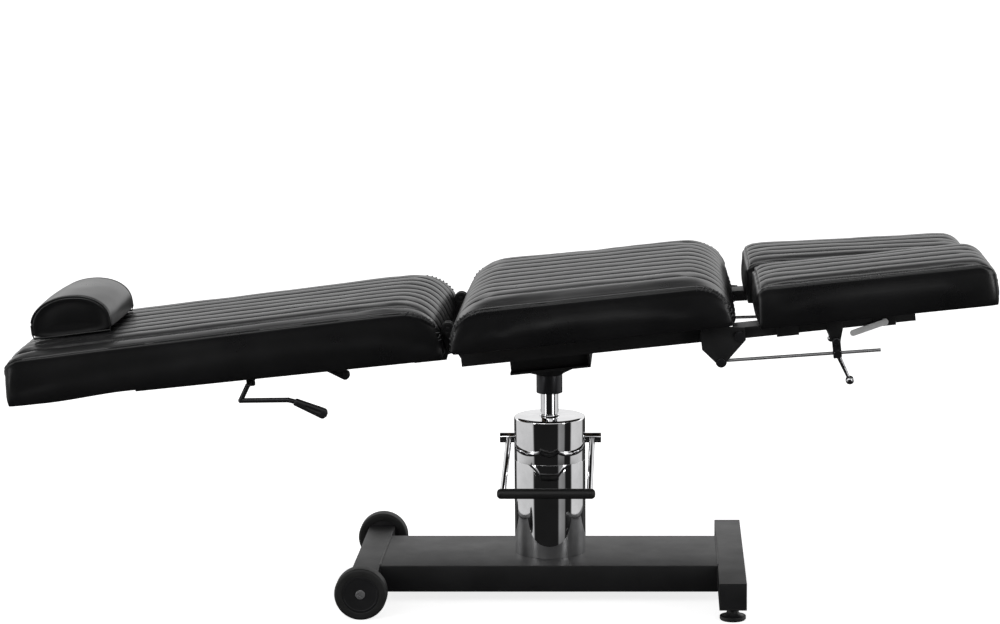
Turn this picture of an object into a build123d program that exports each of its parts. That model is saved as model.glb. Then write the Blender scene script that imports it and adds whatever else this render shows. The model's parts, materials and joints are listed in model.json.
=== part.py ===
"""Hydraulic tattoo chair with split leg rests, in millimetres, +Z up.

X runs from the head end to the feet, and -Y is the pedal side.
The base is laid out from the pump's axis and the floor. Everything above the
ram is laid out in the seat frame's own directions: u along the seat, y across
it and w up from the underside of the seat rails, all tilted by top_tilt.
"""
from build123d import *
import os
from math import cos, sin, radians, sqrt, atan2, degrees, pi

os.makedirs("parts", exist_ok=True)

# Overall stance
top_tilt = 6.0
overrun = 5.0
soft_gap = 0.3
running_gap = 0.05
plate_thickness = 5.0

# Base frame
tube_side = 50.0
tube_wall = 2.5
floor_clearance = 23.0
front_tube_x = 341.0
front_tube_length = 500.0
rear_tube_x = -338.0
rear_tube_length = 390.0
beam_width = 236.0
beam_wall = 3.0
plug_depth = 12.0

# Wheels and levelling feet
wheel_width = 32.0
wheel_gap = 6.0
tyre_thickness = 14.0
tyre_shoulder = 5.0
hub_recess = 2.0
hub_ring_radius = 30.0
hub_dome_radius = 8.6
axle_radius = 5.0
axle_grip = 30.0
foot_inset = 25.0
foot_radius = 24.0
foot_pad_height = 8.0
foot_neck_radius = 11.0
foot_stud_radius = 5.0
foot_stud_grip = 30.0
foot_edge = 2.0

# Pump column
pump_radius = 67.0
pump_wall = 2.0
pump_top_height = 335.0
rocker_drop = 51.0
seam_drop = 32.0
rocker_height = pump_top_height - rocker_drop
pump_seam_height = rocker_height - seam_drop
pump_edge = 5.0
flange_radius = 62.0
flange_thickness = 10.0
flange_bolt_circle = 47.0
flange_bolt_radius = 5.0
flange_bolt_head = 6.0
flange_bolt_count = 4
barrel_radius = 26.0
barrel_wall = 4.0
barrel_gap = 1.0
bush_height = 24.0
seal_radius = 19.0
seal_height = 4.0
ram_radius = 16.75
piston_height = 22.0
piston_rest_clearance = 38.0
spigot_radius = 12.0
spigot_height = 34.0

# Pedal
rocker_y = 38.0
rocker_radius = 9.5
rocker_length = 192.0
pedal_arm_radius = 5.5
pedal_arm_x = 79.0
foot_bar_y = -187.0
foot_bar_drop = 58.0
foot_bar_height = rocker_height - foot_bar_drop
foot_bar_length = 180.0
foot_bar_core_radius = 5.5
foot_sleeve_radius = 9.5

# Socket, mount plate and channel under the seat
socket_radius = 24.5
socket_clearance = 44.0
socket_length = 35.0
seat_rise = 68.5
socket_bottom_height = pump_top_height + socket_clearance
socket_top_height = socket_bottom_height + socket_length
seat_plane_height = socket_top_height + seat_rise
mount_plate_w = -50.0
mount_plate_thickness = 4.0
mount_plate_half_length = 75.0
mount_plate_half_width = 75.0
mount_wing_height = 26.0
dish_half_length = 52.0
channel_half_length = 74.0
channel_half_width = 60.0
channel_wall = 4.0
mount_bolt_radius = 5.0
mount_bolt_head = 4.0
mount_bolt_inset = 16.0

# Seat frame
rail_height = 35.0
rail_width = 30.0
rail_wall = 2.5
seat_rail_y = 200.0
seat_rail_start = -150.0
seat_rail_end = 320.0
cross_tube_height = 30.0
cross_tube_width = 30.0
cross_tube_places = (-98.0, -50.0, 58.0, 260.0)

# Cushions
board_thickness = 12.0
board_inset = 30.0
seat_start = -164.0
seat_end = 349.0
seat_half_width = 290.0
seat_bottom = 35.0
seat_seam = 112.0
seat_crown = 13.0
seat_border = 66.0
back_start = -978.0
back_end = -177.0
back_half_width = 222.0
back_bottom = 20.0
back_seam = 110.0
back_crown = 12.0
back_border = 36.0
back_taper = 12.0
back_taper_start = -300.0
leg_start = 388.0
leg_end = 821.0
leg_inner_y = 18.0
leg_outer_y = 290.0
leg_bottom = 24.0
leg_seam = 99.0
leg_crown = 8.0
leg_border = 16.0
far_leg_tilt = 2.9
far_pad_slide = -14.0
rod_follow = 0.83
knee_run = 70.0
knee_fall = 66.0
head_radius = 34.0
leg_knee_radius = 26.0
toe_run = 46.0
toe_fall = 40.0
plan_corner = 16.0
side_draw = 4.0
side_bulge = 3.0
channel_depth = 3.0
border_puff = 1.6
crown_power = 8
seat_channels = 9
back_channels = 8
leg_channels = 5

# Back frame and its hinge
back_pivot_u = -170.0
back_pivot_w = 66.0
back_rail_y = 150.0
back_rail_height = 12.0
back_rail_start = -752.0
back_rail_end = -205.0
back_cross_places = (-690.0, -500.0)
hinge_strap_start = -238.0
hinge_strap_thickness = 3.0
hinge_ear_radius = 13.0
hinge_pin_radius = 5.0
hinge_foot_length = 34.0
hinge_ear_lap = 1.5
hinge_heel = 25.0
notch_depth = 14.0
notch_margin = 8.0

# Headrest bolster
bolster_u = -864.0
bolster_width = 150.0
bolster_length = 228.0
bolster_height = 76.0
bolster_side = 22.0

# Release bar under the backrest
release_pivot_u = -543.0
release_pivot_w = 2.0
release_bar_radius = 4.5
release_bend_radius = 4.7
release_bar_y = 190.0
release_elbow_u = -559.0
release_elbow_w = -24.0
release_reach_u = -473.0
release_reach_w = -32.0
release_grip_u = -462.0
release_grip_w = -36.0
release_end_u = -408.0
release_end_w = -66.0
grip_start_radius = 7.0
grip_end_radius = 10.5
clip_width = 14.0
clip_wall = 3.0

# Gas strut between the seat frame and the back frame
strut_back_u = -500.0
strut_back_w = -8.0
strut_seat_u = -192.0
strut_seat_w = 5.0
strut_cylinder_radius = 11.0
strut_cylinder_length = 238.0
strut_rod_radius = 5.0
strut_rod_overlap = 150.0
strut_eye_radius = 10.0
strut_eye_width = 12.0
strut_pin_radius = 4.0
strut_slot_radius = 10.2
strut_ear_radius = 14.0
strut_ear_wall = 4.0
strut_ear_y = 12.0

# Leg hinge, knee plates and leg arms
leg_pivot_u = 300.0
leg_pivot_w = 18.0
leg_shaft_radius = 9.0
knee_bolt_u = 353.5
knee_bolt_w = 9.4
knee_tip_u = 316.0
knee_tip_w = -34.0
knee_plate_y = 246.5
knee_left_reach = 16.0
knee_left_drop = 8.0
knee_right_u = 364.0
knee_tip_radius = 10.0
knee_bolt_radius = 6.0
knee_bolt_head_radius = 9.0
knee_bolt_head = 6.0
tip_bolt_radius = 4.0
arm_start = 343.0
arm_end = 670.0
arm_inner_y = 182.0
arm_outer_y = 242.0
arm_height = 20.0
arm_wall = 2.5

# Support rod, its clamp and the two levers of each leg
rod_radius = 3.0
rod_y = 235.0
rod_eye_radius = 8.0
rod_eye_width = 8.0
rod_end_u = 603.0
rod_end_w = -44.0
clamp_pivot_u = 525.0
clamp_pivot_w = -17.0
clamp_half_width = 7.5
clamp_top_radius = 8.0
clamp_drop = 33.0
clamp_start_y = 228.5
clamp_end_y = 241.7
clamp_pin_radius = 4.0
clamp_bore_radius = 4.4
clamp_boss = 3.0
ear_thickness = 3.0
ear_half_width = 14.0
clamp_head_radius = 7.0
lever_y = 249.5
lever_screw_radius = 4.0
lever_hub_radius = 7.0
lever_hub_width = 9.0
lever_drop_u = 17.0
lever_drop_w = 49.0
lever_root_radius = 4.5
lever_tip_radius = 3.2
lever_ball_radius = 8.0
cam_pivot_u = 614.0
cam_pivot_w = 8.0
cam_lever_width = 11.0
cam_lever_thickness = 4.0
cam_reach_u = -58.0
cam_reach_w = -14.0
cam_pin_radius = 4.0
cam_boss_radius = 6.5

# Steel carrier between a leg cushion and its arm
carrier_thickness = 3.0
carrier_start = 402.0
carrier_end = 800.0
carrier_side = 8.0
keeper_length = 40.0
keeper_places = (440.0, 614.0)
keeper_lip = 8.0

# Plane of the tilted top and the pieces' own helper shapes
top_place = Pos(0, 0, seat_plane_height) * Rot(0, -top_tilt, 0)
tube_top = floor_clearance + tube_side
wheel_radius = floor_clearance + tube_side / 2
ALONG_MIN = (Align.CENTER, Align.CENTER, Align.MIN)


def block(x0, x1, y0, y1, z0, z1):
    """A box from its lowest to its highest corner."""
    size = (x1 - x0, y1 - y0, z1 - z0)
    middle = ((x0 + x1) / 2, (y0 + y1) / 2, (z0 + z1) / 2)
    return Pos(*middle) * Box(*size)


def bar(start, end, radius, end_radius=None):
    """A round bar, or a cone, from one point to another."""
    run = Vector(*end) - Vector(*start)
    place = Plane(origin=start, z_dir=run)
    if end_radius is None:
        return place * Cylinder(radius, run.length, align=ALONG_MIN)
    return place * Cone(radius, end_radius, run.length, align=ALONG_MIN)


def pin_y(u, w, y0, y1, radius):
    """A round pin across the chair."""
    return bar((u, y0, w), (u, y1, w), radius)


def square_tube(x0, x1, y0, y1, z0, z1, wall, along):
    """A rectangular tube, open at both ends of the named axis."""
    outer = block(x0, x1, y0, y1, z0, z1)
    if along == "x":
        inner = block(x0 - overrun, x1 + overrun, y0 + wall, y1 - wall, z0 + wall, z1 - wall)
    else:
        inner = block(x0 + wall, x1 - wall, y0 - overrun, y1 + overrun, z0 + wall, z1 - wall)
    return outer - inner


def side_plate(points, y0, y1, discs=(), holes=()):
    """A flat plate across the chair: an outline of (u, w) points, round ends and holes."""
    outline = Polygon(*points, align=None)
    for u, w, radius in discs:
        outline += Pos(u, w) * Circle(radius)
    for u, w, radius in holes:
        outline -= Pos(u, w) * Circle(radius)
    return Pos(0, y1, 0) * extrude(Plane.XZ * outline, amount=y1 - y0, dir=(0, -1, 0))


def mirrored(shape):
    """The same piece on the other side of the chair."""
    return shape.mirror(Plane.XZ)


def both(shape):
    """A piece and its mirror image as one group."""
    return Compound([shape, mirrored(shape)])


nodes = {}


def turned(shape, u, w, angle):
    """The piece turned about a cross axis, the way its far end drops."""
    return Pos(u, 0, w) * Rot(0, angle, 0) * Pos(-u, 0, -w) * shape


def keep(name, shape, tilted=False):
    """File a piece under its name, in the upright frame."""
    nodes[name] = top_place * shape if tilted else shape


# Base frame
beam_start = rear_tube_x + tube_side / 2
beam_end = front_tube_x - tube_side / 2
keep("base_beam", square_tube(beam_start, beam_end, -beam_width / 2, beam_width / 2,
                              floor_clearance, tube_top, beam_wall, "x"))


def cross_tube(x, length):
    return square_tube(x - tube_side / 2, x + tube_side / 2, -length / 2, length / 2,
                       floor_clearance, tube_top, tube_wall, "y")


def end_plug(x, length):
    inner = tube_side / 2 - tube_wall
    middle = floor_clearance + tube_side / 2
    return block(x - inner, x + inner, -length / 2, -length / 2 + plug_depth,
                 middle - inner, middle + inner)


foot_y = front_tube_length / 2 - foot_inset
stud_hole = Pos(front_tube_x, -foot_y, floor_clearance) * Cylinder(
    foot_stud_radius + running_gap, 2 * overrun)
front_tube = cross_tube(front_tube_x, front_tube_length)
keep("front_cross_tube", front_tube - stud_hole - mirrored(stud_hole))
keep("rear_cross_tube", cross_tube(rear_tube_x, rear_tube_length))

axle_start = -rear_tube_length / 2 + axle_grip
axle_hole = bar((rear_tube_x, axle_start, wheel_radius),
                (rear_tube_x, -rear_tube_length / 2 - overrun, wheel_radius), axle_radius)
front_plug = end_plug(front_tube_x, front_tube_length)
rear_plug = end_plug(rear_tube_x, rear_tube_length) - axle_hole
keep("tube_end_plugs", Compound([front_plug, mirrored(front_plug),
                                 rear_plug, mirrored(rear_plug)]))


# Wheels on their axle bolts
wheel_inner_y = rear_tube_length / 2 + wheel_gap
wheel_outer_y = wheel_inner_y + wheel_width
hub_radius = wheel_radius - tyre_thickness


def wheel_turning(radius, y0, y1):
    return bar((rear_tube_x, -y0, wheel_radius), (rear_tube_x, -y1, wheel_radius), radius)


tyre = wheel_turning(wheel_radius, wheel_inner_y, wheel_outer_y)
tyre = fillet(tyre.edges().filter_by(GeomType.CIRCLE), tyre_shoulder)
tyre -= wheel_turning(hub_radius, wheel_inner_y - overrun, wheel_outer_y + overrun)
hub = wheel_turning(hub_radius, wheel_inner_y + hub_recess, wheel_outer_y - hub_recess / 2)
hub -= wheel_turning(hub_ring_radius, wheel_outer_y - hub_recess, wheel_outer_y + overrun)
hub -= wheel_turning(axle_radius + running_gap, wheel_inner_y - overrun, wheel_outer_y + overrun)
axle_head_y = wheel_outer_y - hub_recess + soft_gap
axle = wheel_turning(axle_radius, rear_tube_length / 2 - axle_grip, axle_head_y)
axle += wheel_turning(hub_dome_radius, axle_head_y, axle_head_y + hub_recess)
axle += wheel_turning(hub_dome_radius, rear_tube_length / 2, wheel_inner_y + hub_recess - soft_gap)
for side, place in (("near", lambda s: s), ("far", mirrored)):
    keep(f"wheel_tyre_{side}", place(tyre))
    keep(f"wheel_hub_{side}", place(hub))
keep("wheel_axles", both(axle))


# Levelling feet
with BuildSketch(Plane.XZ) as foot_profile:
    with BuildLine():
        pad_edge = (foot_radius, foot_pad_height)
        neck_low = (foot_neck_radius, floor_clearance - soft_gap)
        Polyline((0, 0), (foot_radius - foot_edge, 0), (foot_radius, foot_edge), pad_edge)
        ThreePointArc(pad_edge, (foot_neck_radius + foot_edge, foot_pad_height + foot_edge
                                 + foot_edge), neck_low)
        Polyline(neck_low, (foot_stud_radius, floor_clearance - soft_gap),
                 (foot_stud_radius, floor_clearance + foot_stud_grip),
                 (0, floor_clearance + foot_stud_grip), (0, 0))
    make_face()
foot = Pos(front_tube_x, -foot_y, 0) * revolve(foot_profile.sketch, Axis.Z)
keep("levelling_foot_near", foot)
keep("levelling_foot_far", mirrored(foot))


# Pump column
def upright(radius, z0, z1, x=0.0, y=0.0):
    return bar((x, y, z0), (x, y, z1), radius)


bolt_ring = [(flange_bolt_circle * cos(2 * pi * (k + 1 / 2) / flange_bolt_count),
              flange_bolt_circle * sin(2 * pi * (k + 1 / 2) / flange_bolt_count))
             for k in range(flange_bolt_count)]
flange_top = tube_top + flange_thickness
flange = upright(flange_radius, tube_top, flange_top)
bolts = []
for x, y in bolt_ring:
    flange -= upright(flange_bolt_radius, tube_top - overrun, flange_top + overrun, x, y)
    bolts.append(upright(flange_bolt_radius, tube_top, flange_top, x, y)
                 + upright(hub_dome_radius, flange_top, flange_top + flange_bolt_head, x, y))
keep("pump_flange", flange)
keep("pump_flange_bolts", Compound(bolts))

lower_shell = upright(pump_radius, tube_top, pump_seam_height)
lower_shell -= upright(pump_radius - pump_wall, tube_top - overrun, pump_seam_height + overrun)
keep("pump_lower_shell", lower_shell)

upper_shell = upright(pump_radius, pump_seam_height, pump_top_height)
upper_shell = fillet(upper_shell.edges().sort_by(Axis.Z)[-1], pump_edge)
upper_shell -= upright(pump_radius - pump_wall, pump_seam_height - overrun,
                       pump_top_height - pump_edge - pump_wall)
upper_shell -= upright(ram_radius + barrel_gap, pump_seam_height, pump_top_height + overrun)
upper_shell -= bar((-rocker_length, rocker_y, rocker_height),
                   (rocker_length, rocker_y, rocker_height), rocker_radius + running_gap)
keep("pump_upper_shell", upper_shell)

barrel_top = pump_top_height - pump_edge - pump_wall
barrel = upright(barrel_radius, flange_top, barrel_top)
barrel -= upright(barrel_radius - barrel_wall, flange_top - overrun, barrel_top + overrun)
keep("pressure_barrel", barrel)
bush = upright(barrel_radius - barrel_wall, barrel_top - bush_height, barrel_top)
bush -= upright(ram_radius + running_gap, barrel_top - bush_height - overrun, barrel_top + overrun)
keep("ram_guide_bush", bush)
seal = upright(seal_radius, pump_top_height, pump_top_height + seal_height)
seal -= upright(ram_radius + running_gap, pump_top_height - overrun,
                pump_top_height + seal_height + overrun)
keep("ram_seal_ring", seal)

piston_bottom = flange_top + piston_rest_clearance
ram = upright(ram_radius, piston_bottom, socket_bottom_height)
ram += upright(barrel_radius - barrel_wall - running_gap, piston_bottom,
               piston_bottom + piston_height)
ram += upright(spigot_radius, socket_bottom_height - overrun,
               socket_bottom_height + spigot_height)
keep("lift_ram", ram)


# Pedal: rocker shaft, chrome stirrup and rubber sleeve
keep("rocker_shaft", bar((-rocker_length / 2, rocker_y, rocker_height),
                         (rocker_length / 2, rocker_y, rocker_height), rocker_radius)
     - bar((pedal_arm_x, rocker_y, rocker_height),
           (pedal_arm_x, foot_bar_y, foot_bar_height), pedal_arm_radius)
     - bar((-pedal_arm_x, rocker_y, rocker_height),
           (-pedal_arm_x, foot_bar_y, foot_bar_height), pedal_arm_radius))
stirrup = bar((-pedal_arm_x, foot_bar_y, foot_bar_height),
              (pedal_arm_x, foot_bar_y, foot_bar_height), foot_bar_core_radius)
for x in (-pedal_arm_x, pedal_arm_x):
    stirrup += bar((x, rocker_y, rocker_height), (x, foot_bar_y, foot_bar_height),
                   pedal_arm_radius)
    stirrup += Pos(x, foot_bar_y, foot_bar_height) * Sphere(foot_bar_core_radius)
keep("pedal_stirrup", stirrup)
sleeve_half = foot_bar_length / 2
sleeve = bar((-sleeve_half, foot_bar_y, foot_bar_height),
             (sleeve_half, foot_bar_y, foot_bar_height), foot_sleeve_radius)
sleeve = fillet(sleeve.edges().filter_by(GeomType.CIRCLE), foot_sleeve_radius - foot_edge)
keep("foot_bar_sleeve", sleeve - stirrup)


# Socket on the ram, dished mount plate and channel under the seat
socket = upright(socket_radius, socket_bottom_height, socket_top_height)
socket_bore = upright(spigot_radius + running_gap, socket_bottom_height - overrun,
                      socket_bottom_height + spigot_height)
keep("seat_socket", socket - socket_bore)

plate_low = mount_plate_w
plate_high = mount_plate_w + mount_plate_thickness
mount_plate = block(-mount_plate_half_length, mount_plate_half_length,
                    -mount_plate_half_width, mount_plate_half_width, plate_low, plate_high)
wing = block(mount_plate_half_length - mount_plate_thickness, mount_plate_half_length,
             -mount_plate_half_width, mount_plate_half_width,
             plate_high, plate_high + mount_wing_height)
mount_plate = top_place * (mount_plate + wing)
dish_face = (top_place * Pos(0, 0, plate_low)
             * Rectangle(2 * dish_half_length, 2 * dish_half_length)).wires()[0]
socket_face = (Pos(0, 0, socket_top_height) * Circle(socket_radius)).wires()[0]
dish = Solid.make_loft([socket_face, dish_face], ruled=True)
keep("seat_mount_plate", mount_plate + dish)

channel_top = rail_height - cross_tube_height
seat_channel = block(-channel_half_length, channel_half_length - mount_plate_thickness,
                     -channel_half_width, channel_half_width, plate_high, channel_top)
seat_channel -= block(-channel_half_length - overrun, channel_half_length + overrun,
                      -channel_half_width + channel_wall, channel_half_width - channel_wall,
                      plate_high + channel_wall, channel_top + overrun)
mount_bolts = []
bolt_u = channel_half_length - mount_bolt_inset
bolt_y = channel_half_width - mount_bolt_inset
bolt_seat = plate_high + channel_wall
mount_holes = []
for u in (-bolt_u, bolt_u):
    for y in (-bolt_y, bolt_y):
        shank = upright(mount_bolt_radius, plate_high, bolt_seat, u, y)
        head = upright(hub_dome_radius, bolt_seat, bolt_seat + mount_bolt_head, u, y)
        seat_channel -= shank
        mount_bolts.append(top_place * (shank + head))
keep("seat_channel", seat_channel, tilted=True)
keep("seat_mount_bolts", Compound(mount_bolts))


# Seat frame
seat_rail = square_tube(seat_rail_start, seat_rail_end, -seat_rail_y - rail_width / 2,
                        -seat_rail_y + rail_width / 2, 0, rail_height, rail_wall, "x")
seat_rail -= pin_y(leg_pivot_u, leg_pivot_w, -seat_rail_y - rail_width, -seat_rail_y + rail_width,
                   leg_shaft_radius + running_gap)
keep("seat_rails", both(seat_rail), tilted=True)
cross_half = seat_rail_y - rail_width / 2
cross_low = rail_height - cross_tube_height
seat_cross = [square_tube(u - cross_tube_width / 2, u + cross_tube_width / 2, -cross_half,
                          cross_half, cross_low, rail_height, rail_wall, "y")
              for u in cross_tube_places]
strut_ear_outer = strut_ear_y + strut_ear_wall
strut_seat_ear = side_plate([
    (strut_seat_u, strut_seat_w - strut_ear_radius),
    (cross_tube_places[0] - cross_tube_width / 2, cross_low),
    (cross_tube_places[0] - cross_tube_width / 2, cross_low + strut_ear_radius),
    (strut_seat_u, strut_seat_w + strut_ear_radius)],
    -strut_ear_outer, -strut_ear_y)
strut_seat_ear += pin_y(strut_seat_u, strut_seat_w, -strut_ear_outer, -strut_ear_y,
                        strut_ear_radius)
strut_seat_ear -= pin_y(strut_seat_u, strut_seat_w, -seat_rail_y, seat_rail_y,
                        strut_slot_radius)
seat_cross[0] = seat_cross[0] + strut_seat_ear + mirrored(strut_seat_ear)
keep("seat_cross_tubes", Compound(seat_cross), tilted=True)


# Cushions, lofted through sections across the chair
def cushion_section(u, y0, y1, bottom, seam, crown, border, channels, height_share, inset):
    """One closed section: flat base, padded sides and a row of sewn channels."""
    low, high = y0 + inset, y1 - inset
    top = bottom + (seam - bottom) * height_share
    rise = crown * height_share
    depth = channel_depth * height_share
    middle = (bottom + top) / 2
    border = border * (high - low) / (y1 - y0)
    edges = [Edge.make_line((u, low, bottom), (u, high, bottom)),
             Edge.make_three_point_arc((u, high, bottom), (u, high + side_bulge, middle),
                                       (u, high, top))]
    inner_low, inner_high = low + border, high - border
    pitch = (inner_high - inner_low) / channels

    def crown_at(y):
        share = (2 * y - low - high) / (high - low)
        return top + rise * (1 - abs(share) ** crown_power)

    half_border = border / 2
    puff = depth * border_puff
    edges.append(Edge.make_three_point_arc(
        (u, high, top), (u, high - half_border, crown_at(high - half_border) + puff),
        (u, inner_high, crown_at(inner_high))))
    for k in range(channels):
        start = inner_high - k * pitch
        end = start - pitch
        mid = (start + end) / 2
        edges.append(Edge.make_three_point_arc((u, start, crown_at(start)),
                                               (u, mid, crown_at(mid) + depth),
                                               (u, end, crown_at(end))))
    edges.append(Edge.make_three_point_arc(
        (u, inner_low, crown_at(inner_low)),
        (u, low + half_border, crown_at(low + half_border) + puff), (u, low, top)))
    edges.append(Edge.make_three_point_arc((u, low, top), (u, low - side_bulge, middle),
                                           (u, low, bottom)))
    return Wire(edges)


END_ANGLES = (0.0, 22.0, 45.0, 68.0, 90.0)
knee_end = (knee_run, knee_fall)
head_end = (head_radius, head_radius)
leg_knee_end = (leg_knee_radius, leg_knee_radius)
toe_end = (toe_run, toe_fall)
MIDDLE_SHARES = (0.25, 0.5, 0.75)


def cushion(u0, u1, y0, y1, bottom, seam, crown, border, channels, end0, end1,
            taper=0.0, taper_start=0.0):
    """A padded cushion with drawn-in sides and a crowned top. Each end is its run and fall.

    taper is how much thinner it gets from taper_start to its low end."""
    height = seam - bottom
    run0, fall0 = end0
    run1, fall1 = end1
    stations = []
    for angle in END_ANGLES:
        turn = radians(angle)
        stations.append((u0 + run0 * (1 - cos(turn)), 1 - fall0 * (1 - sin(turn)) / height,
                         plan_corner * (1 - sin(turn))))
    run_start, run_end = u0 + run0, u1 - run1
    for share in MIDDLE_SHARES:
        draw = side_draw * (1 - (2 * share - 1) ** 2)
        stations.append((run_start + (run_end - run_start) * share, 1.0, draw))
    for angle in reversed(END_ANGLES):
        turn = radians(angle)
        stations.append((u1 - run1 * (1 - cos(turn)), 1 - fall1 * (1 - sin(turn)) / height,
                         plan_corner * (1 - sin(turn))))
    if taper:
        stations = [(u, share - taper / height * max(0.0, (taper_start - u) / (taper_start - u0)),
                     inset) for u, share, inset in stations]
    sections = [cushion_section(u, y0, y1, bottom, seam, crown, border, channels, share, inset)
                for u, share, inset in stations]
    return Solid.make_loft(sections, ruled=True)


def board_under(u0, u1, y0, y1, bottom):
    return block(u0 + board_inset, u1 - board_inset, y0 + board_inset, y1 - board_inset,
                 bottom, bottom + board_thickness)


notch_inner_y = back_rail_y + rail_width / 2 - notch_margin / 2
notch_outer_y = seat_rail_y - rail_width / 2 + notch_margin / 2
notch_top = back_pivot_w + hinge_ear_radius + notch_margin / 2


def hinge_notch(u0, u1, bottom):
    return block(u0, u1, -notch_outer_y, -notch_inner_y, bottom - overrun, notch_top)


seat_board = board_under(seat_start, seat_end, -seat_half_width, seat_half_width, seat_bottom)
seat_cushion = cushion(seat_start, seat_end, -seat_half_width, seat_half_width, seat_bottom,
                       seat_seam, seat_crown, seat_border, seat_channels, knee_end, knee_end)
seat_notch = hinge_notch(seat_start - overrun, seat_start + notch_depth, seat_bottom)
seat_cushion -= seat_board
seat_cushion -= seat_notch
seat_cushion -= mirrored(seat_notch)
keep("seat_board", seat_board, tilted=True)
keep("seat_cushion", seat_cushion, tilted=True)

back_board = board_under(back_start, back_end, -back_half_width, back_half_width, back_bottom)
back_cushion = cushion(back_start, back_end, -back_half_width, back_half_width, back_bottom,
                       back_seam, back_crown, back_border, back_channels, head_end, knee_end,
                       back_taper, back_taper_start)
back_notch = hinge_notch(back_end - notch_depth, back_end + overrun, back_bottom)
back_cushion -= back_board
back_cushion -= back_notch
back_cushion -= mirrored(back_notch)
keep("back_board", back_board, tilted=True)
keep("back_cushion", back_cushion, tilted=True)


# Back hinge: brackets on the seat rails, ears on the back rails and the pins
bracket_outer_y = seat_rail_y - rail_width / 2
bracket_inner_y = bracket_outer_y - plate_thickness
ear_inner_y = back_rail_y + rail_width / 2
ear_outer_y = ear_inner_y + plate_thickness


def hinge_plate(outline, hole_radius, y0, y1):
    """A flat plate from its foot on a rail to the round ear at the back pivot."""
    return side_plate(outline, y0, y1, discs=[(back_pivot_u, back_pivot_w, hinge_ear_radius)],
                      holes=[(back_pivot_u, back_pivot_w, hole_radius)])


ear_left = back_pivot_u - hinge_ear_radius + hinge_ear_lap
ear_right = back_pivot_u + hinge_ear_radius - hinge_ear_lap
bracket = hinge_plate([
    (seat_rail_start, cross_low), (seat_rail_start + hinge_foot_length, cross_low),
    (seat_rail_start + hinge_foot_length, rail_height),
    (seat_start + notch_depth - soft_gap, rail_height),
    (ear_right, back_pivot_w), (ear_left, back_pivot_w)],
    hinge_pin_radius, -bracket_outer_y, -bracket_inner_y)
keep("back_hinge_brackets", both(bracket), tilted=True)
back_rail_low = back_bottom - back_rail_height
ear = hinge_plate([
    (back_rail_end - hinge_foot_length, back_rail_low),
    (back_rail_end + hinge_heel, back_rail_low), (ear_right, back_pivot_w), (ear_left, back_pivot_w),
    (back_end - notch_depth + soft_gap, back_bottom),
    (back_rail_end - hinge_foot_length, back_bottom)],
    hinge_pin_radius + running_gap, -ear_outer_y, -ear_inner_y)
keep("back_hinge_ears", both(ear), tilted=True)
hinge_pin = pin_y(back_pivot_u, back_pivot_w, -bracket_outer_y, -ear_inner_y, hinge_pin_radius)
hinge_pin += pin_y(back_pivot_u, back_pivot_w, -bracket_inner_y, -ear_outer_y - soft_gap,
                   hub_dome_radius)
keep("back_hinge_pins", both(hinge_pin), tilted=True)


# Back frame
back_rail = square_tube(back_rail_start, back_rail_end, -back_rail_y - rail_width / 2,
                        -back_rail_y + rail_width / 2, back_rail_low, back_bottom, rail_wall, "x")
keep("back_rails", both(back_rail), tilted=True)
back_cross_half = back_rail_y - rail_width / 2
back_cross = [square_tube(u - cross_tube_width / 2, u + cross_tube_width / 2, -back_cross_half,
                          back_cross_half, back_rail_low, back_bottom, rail_wall, "y")
              for u in back_cross_places]
strut_ear = side_plate([(strut_back_u - strut_eye_radius, back_rail_low),
                        (strut_back_u - strut_eye_radius, strut_back_w),
                        (strut_back_u + strut_eye_radius, strut_back_w),
                        (strut_back_u + strut_eye_radius, back_rail_low)],
                       -strut_ear_outer, -strut_ear_y)
strut_ear += pin_y(strut_back_u, strut_back_w, -strut_ear_outer, -strut_ear_y, strut_eye_radius)
strut_ear -= pin_y(strut_back_u, strut_back_w, -seat_rail_y, seat_rail_y,
                   strut_pin_radius + running_gap)
middle_cross = back_cross[1] + strut_ear + mirrored(strut_ear)
hinge_strap = block(hinge_strap_start, hinge_strap_start + cross_tube_width, -back_cross_half,
                    back_cross_half, back_bottom - hinge_strap_thickness, back_bottom)
keep("back_cross_tubes", Compound([back_cross[0], middle_cross, hinge_strap]), tilted=True)


# Headrest bolster: a half-round pad across the backrest
bolster_share = (back_taper_start - bolster_u) / (back_taper_start - back_start)
bolster_drop = back_taper * bolster_share
bolster_base = back_seam + back_crown + channel_depth + soft_gap - bolster_drop
bolster_lean = degrees(atan2(back_taper, back_taper_start - back_start))
bolster_half = bolster_width / 2
with BuildSketch(Plane.XZ) as bolster_profile:
    with BuildLine():
        left = (bolster_u - bolster_half, bolster_base)
        right = (bolster_u + bolster_half, bolster_base)
        left_high = (bolster_u - bolster_half, bolster_base + bolster_side)
        right_high = (bolster_u + bolster_half, bolster_base + bolster_side)
        Polyline(left_high, left, right, right_high)
        ThreePointArc(right_high, (bolster_u, bolster_base + bolster_height), left_high)
    make_face()
bolster = Pos(0, bolster_length / 2, 0) * extrude(bolster_profile.sketch, amount=bolster_length)
bolster = fillet(bolster.edges().filter_by(Axis.Y), head_radius / 3)
keep("headrest_bolster", turned(bolster, bolster_u, bolster_base, -bolster_lean), tilted=True)


# Release bar under the backrest
def release_side(y):
    return [(release_pivot_u, y, release_pivot_w), (release_elbow_u, y, release_elbow_w),
            (release_reach_u, y, release_reach_w), (release_grip_u, y, release_grip_w)]


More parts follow.
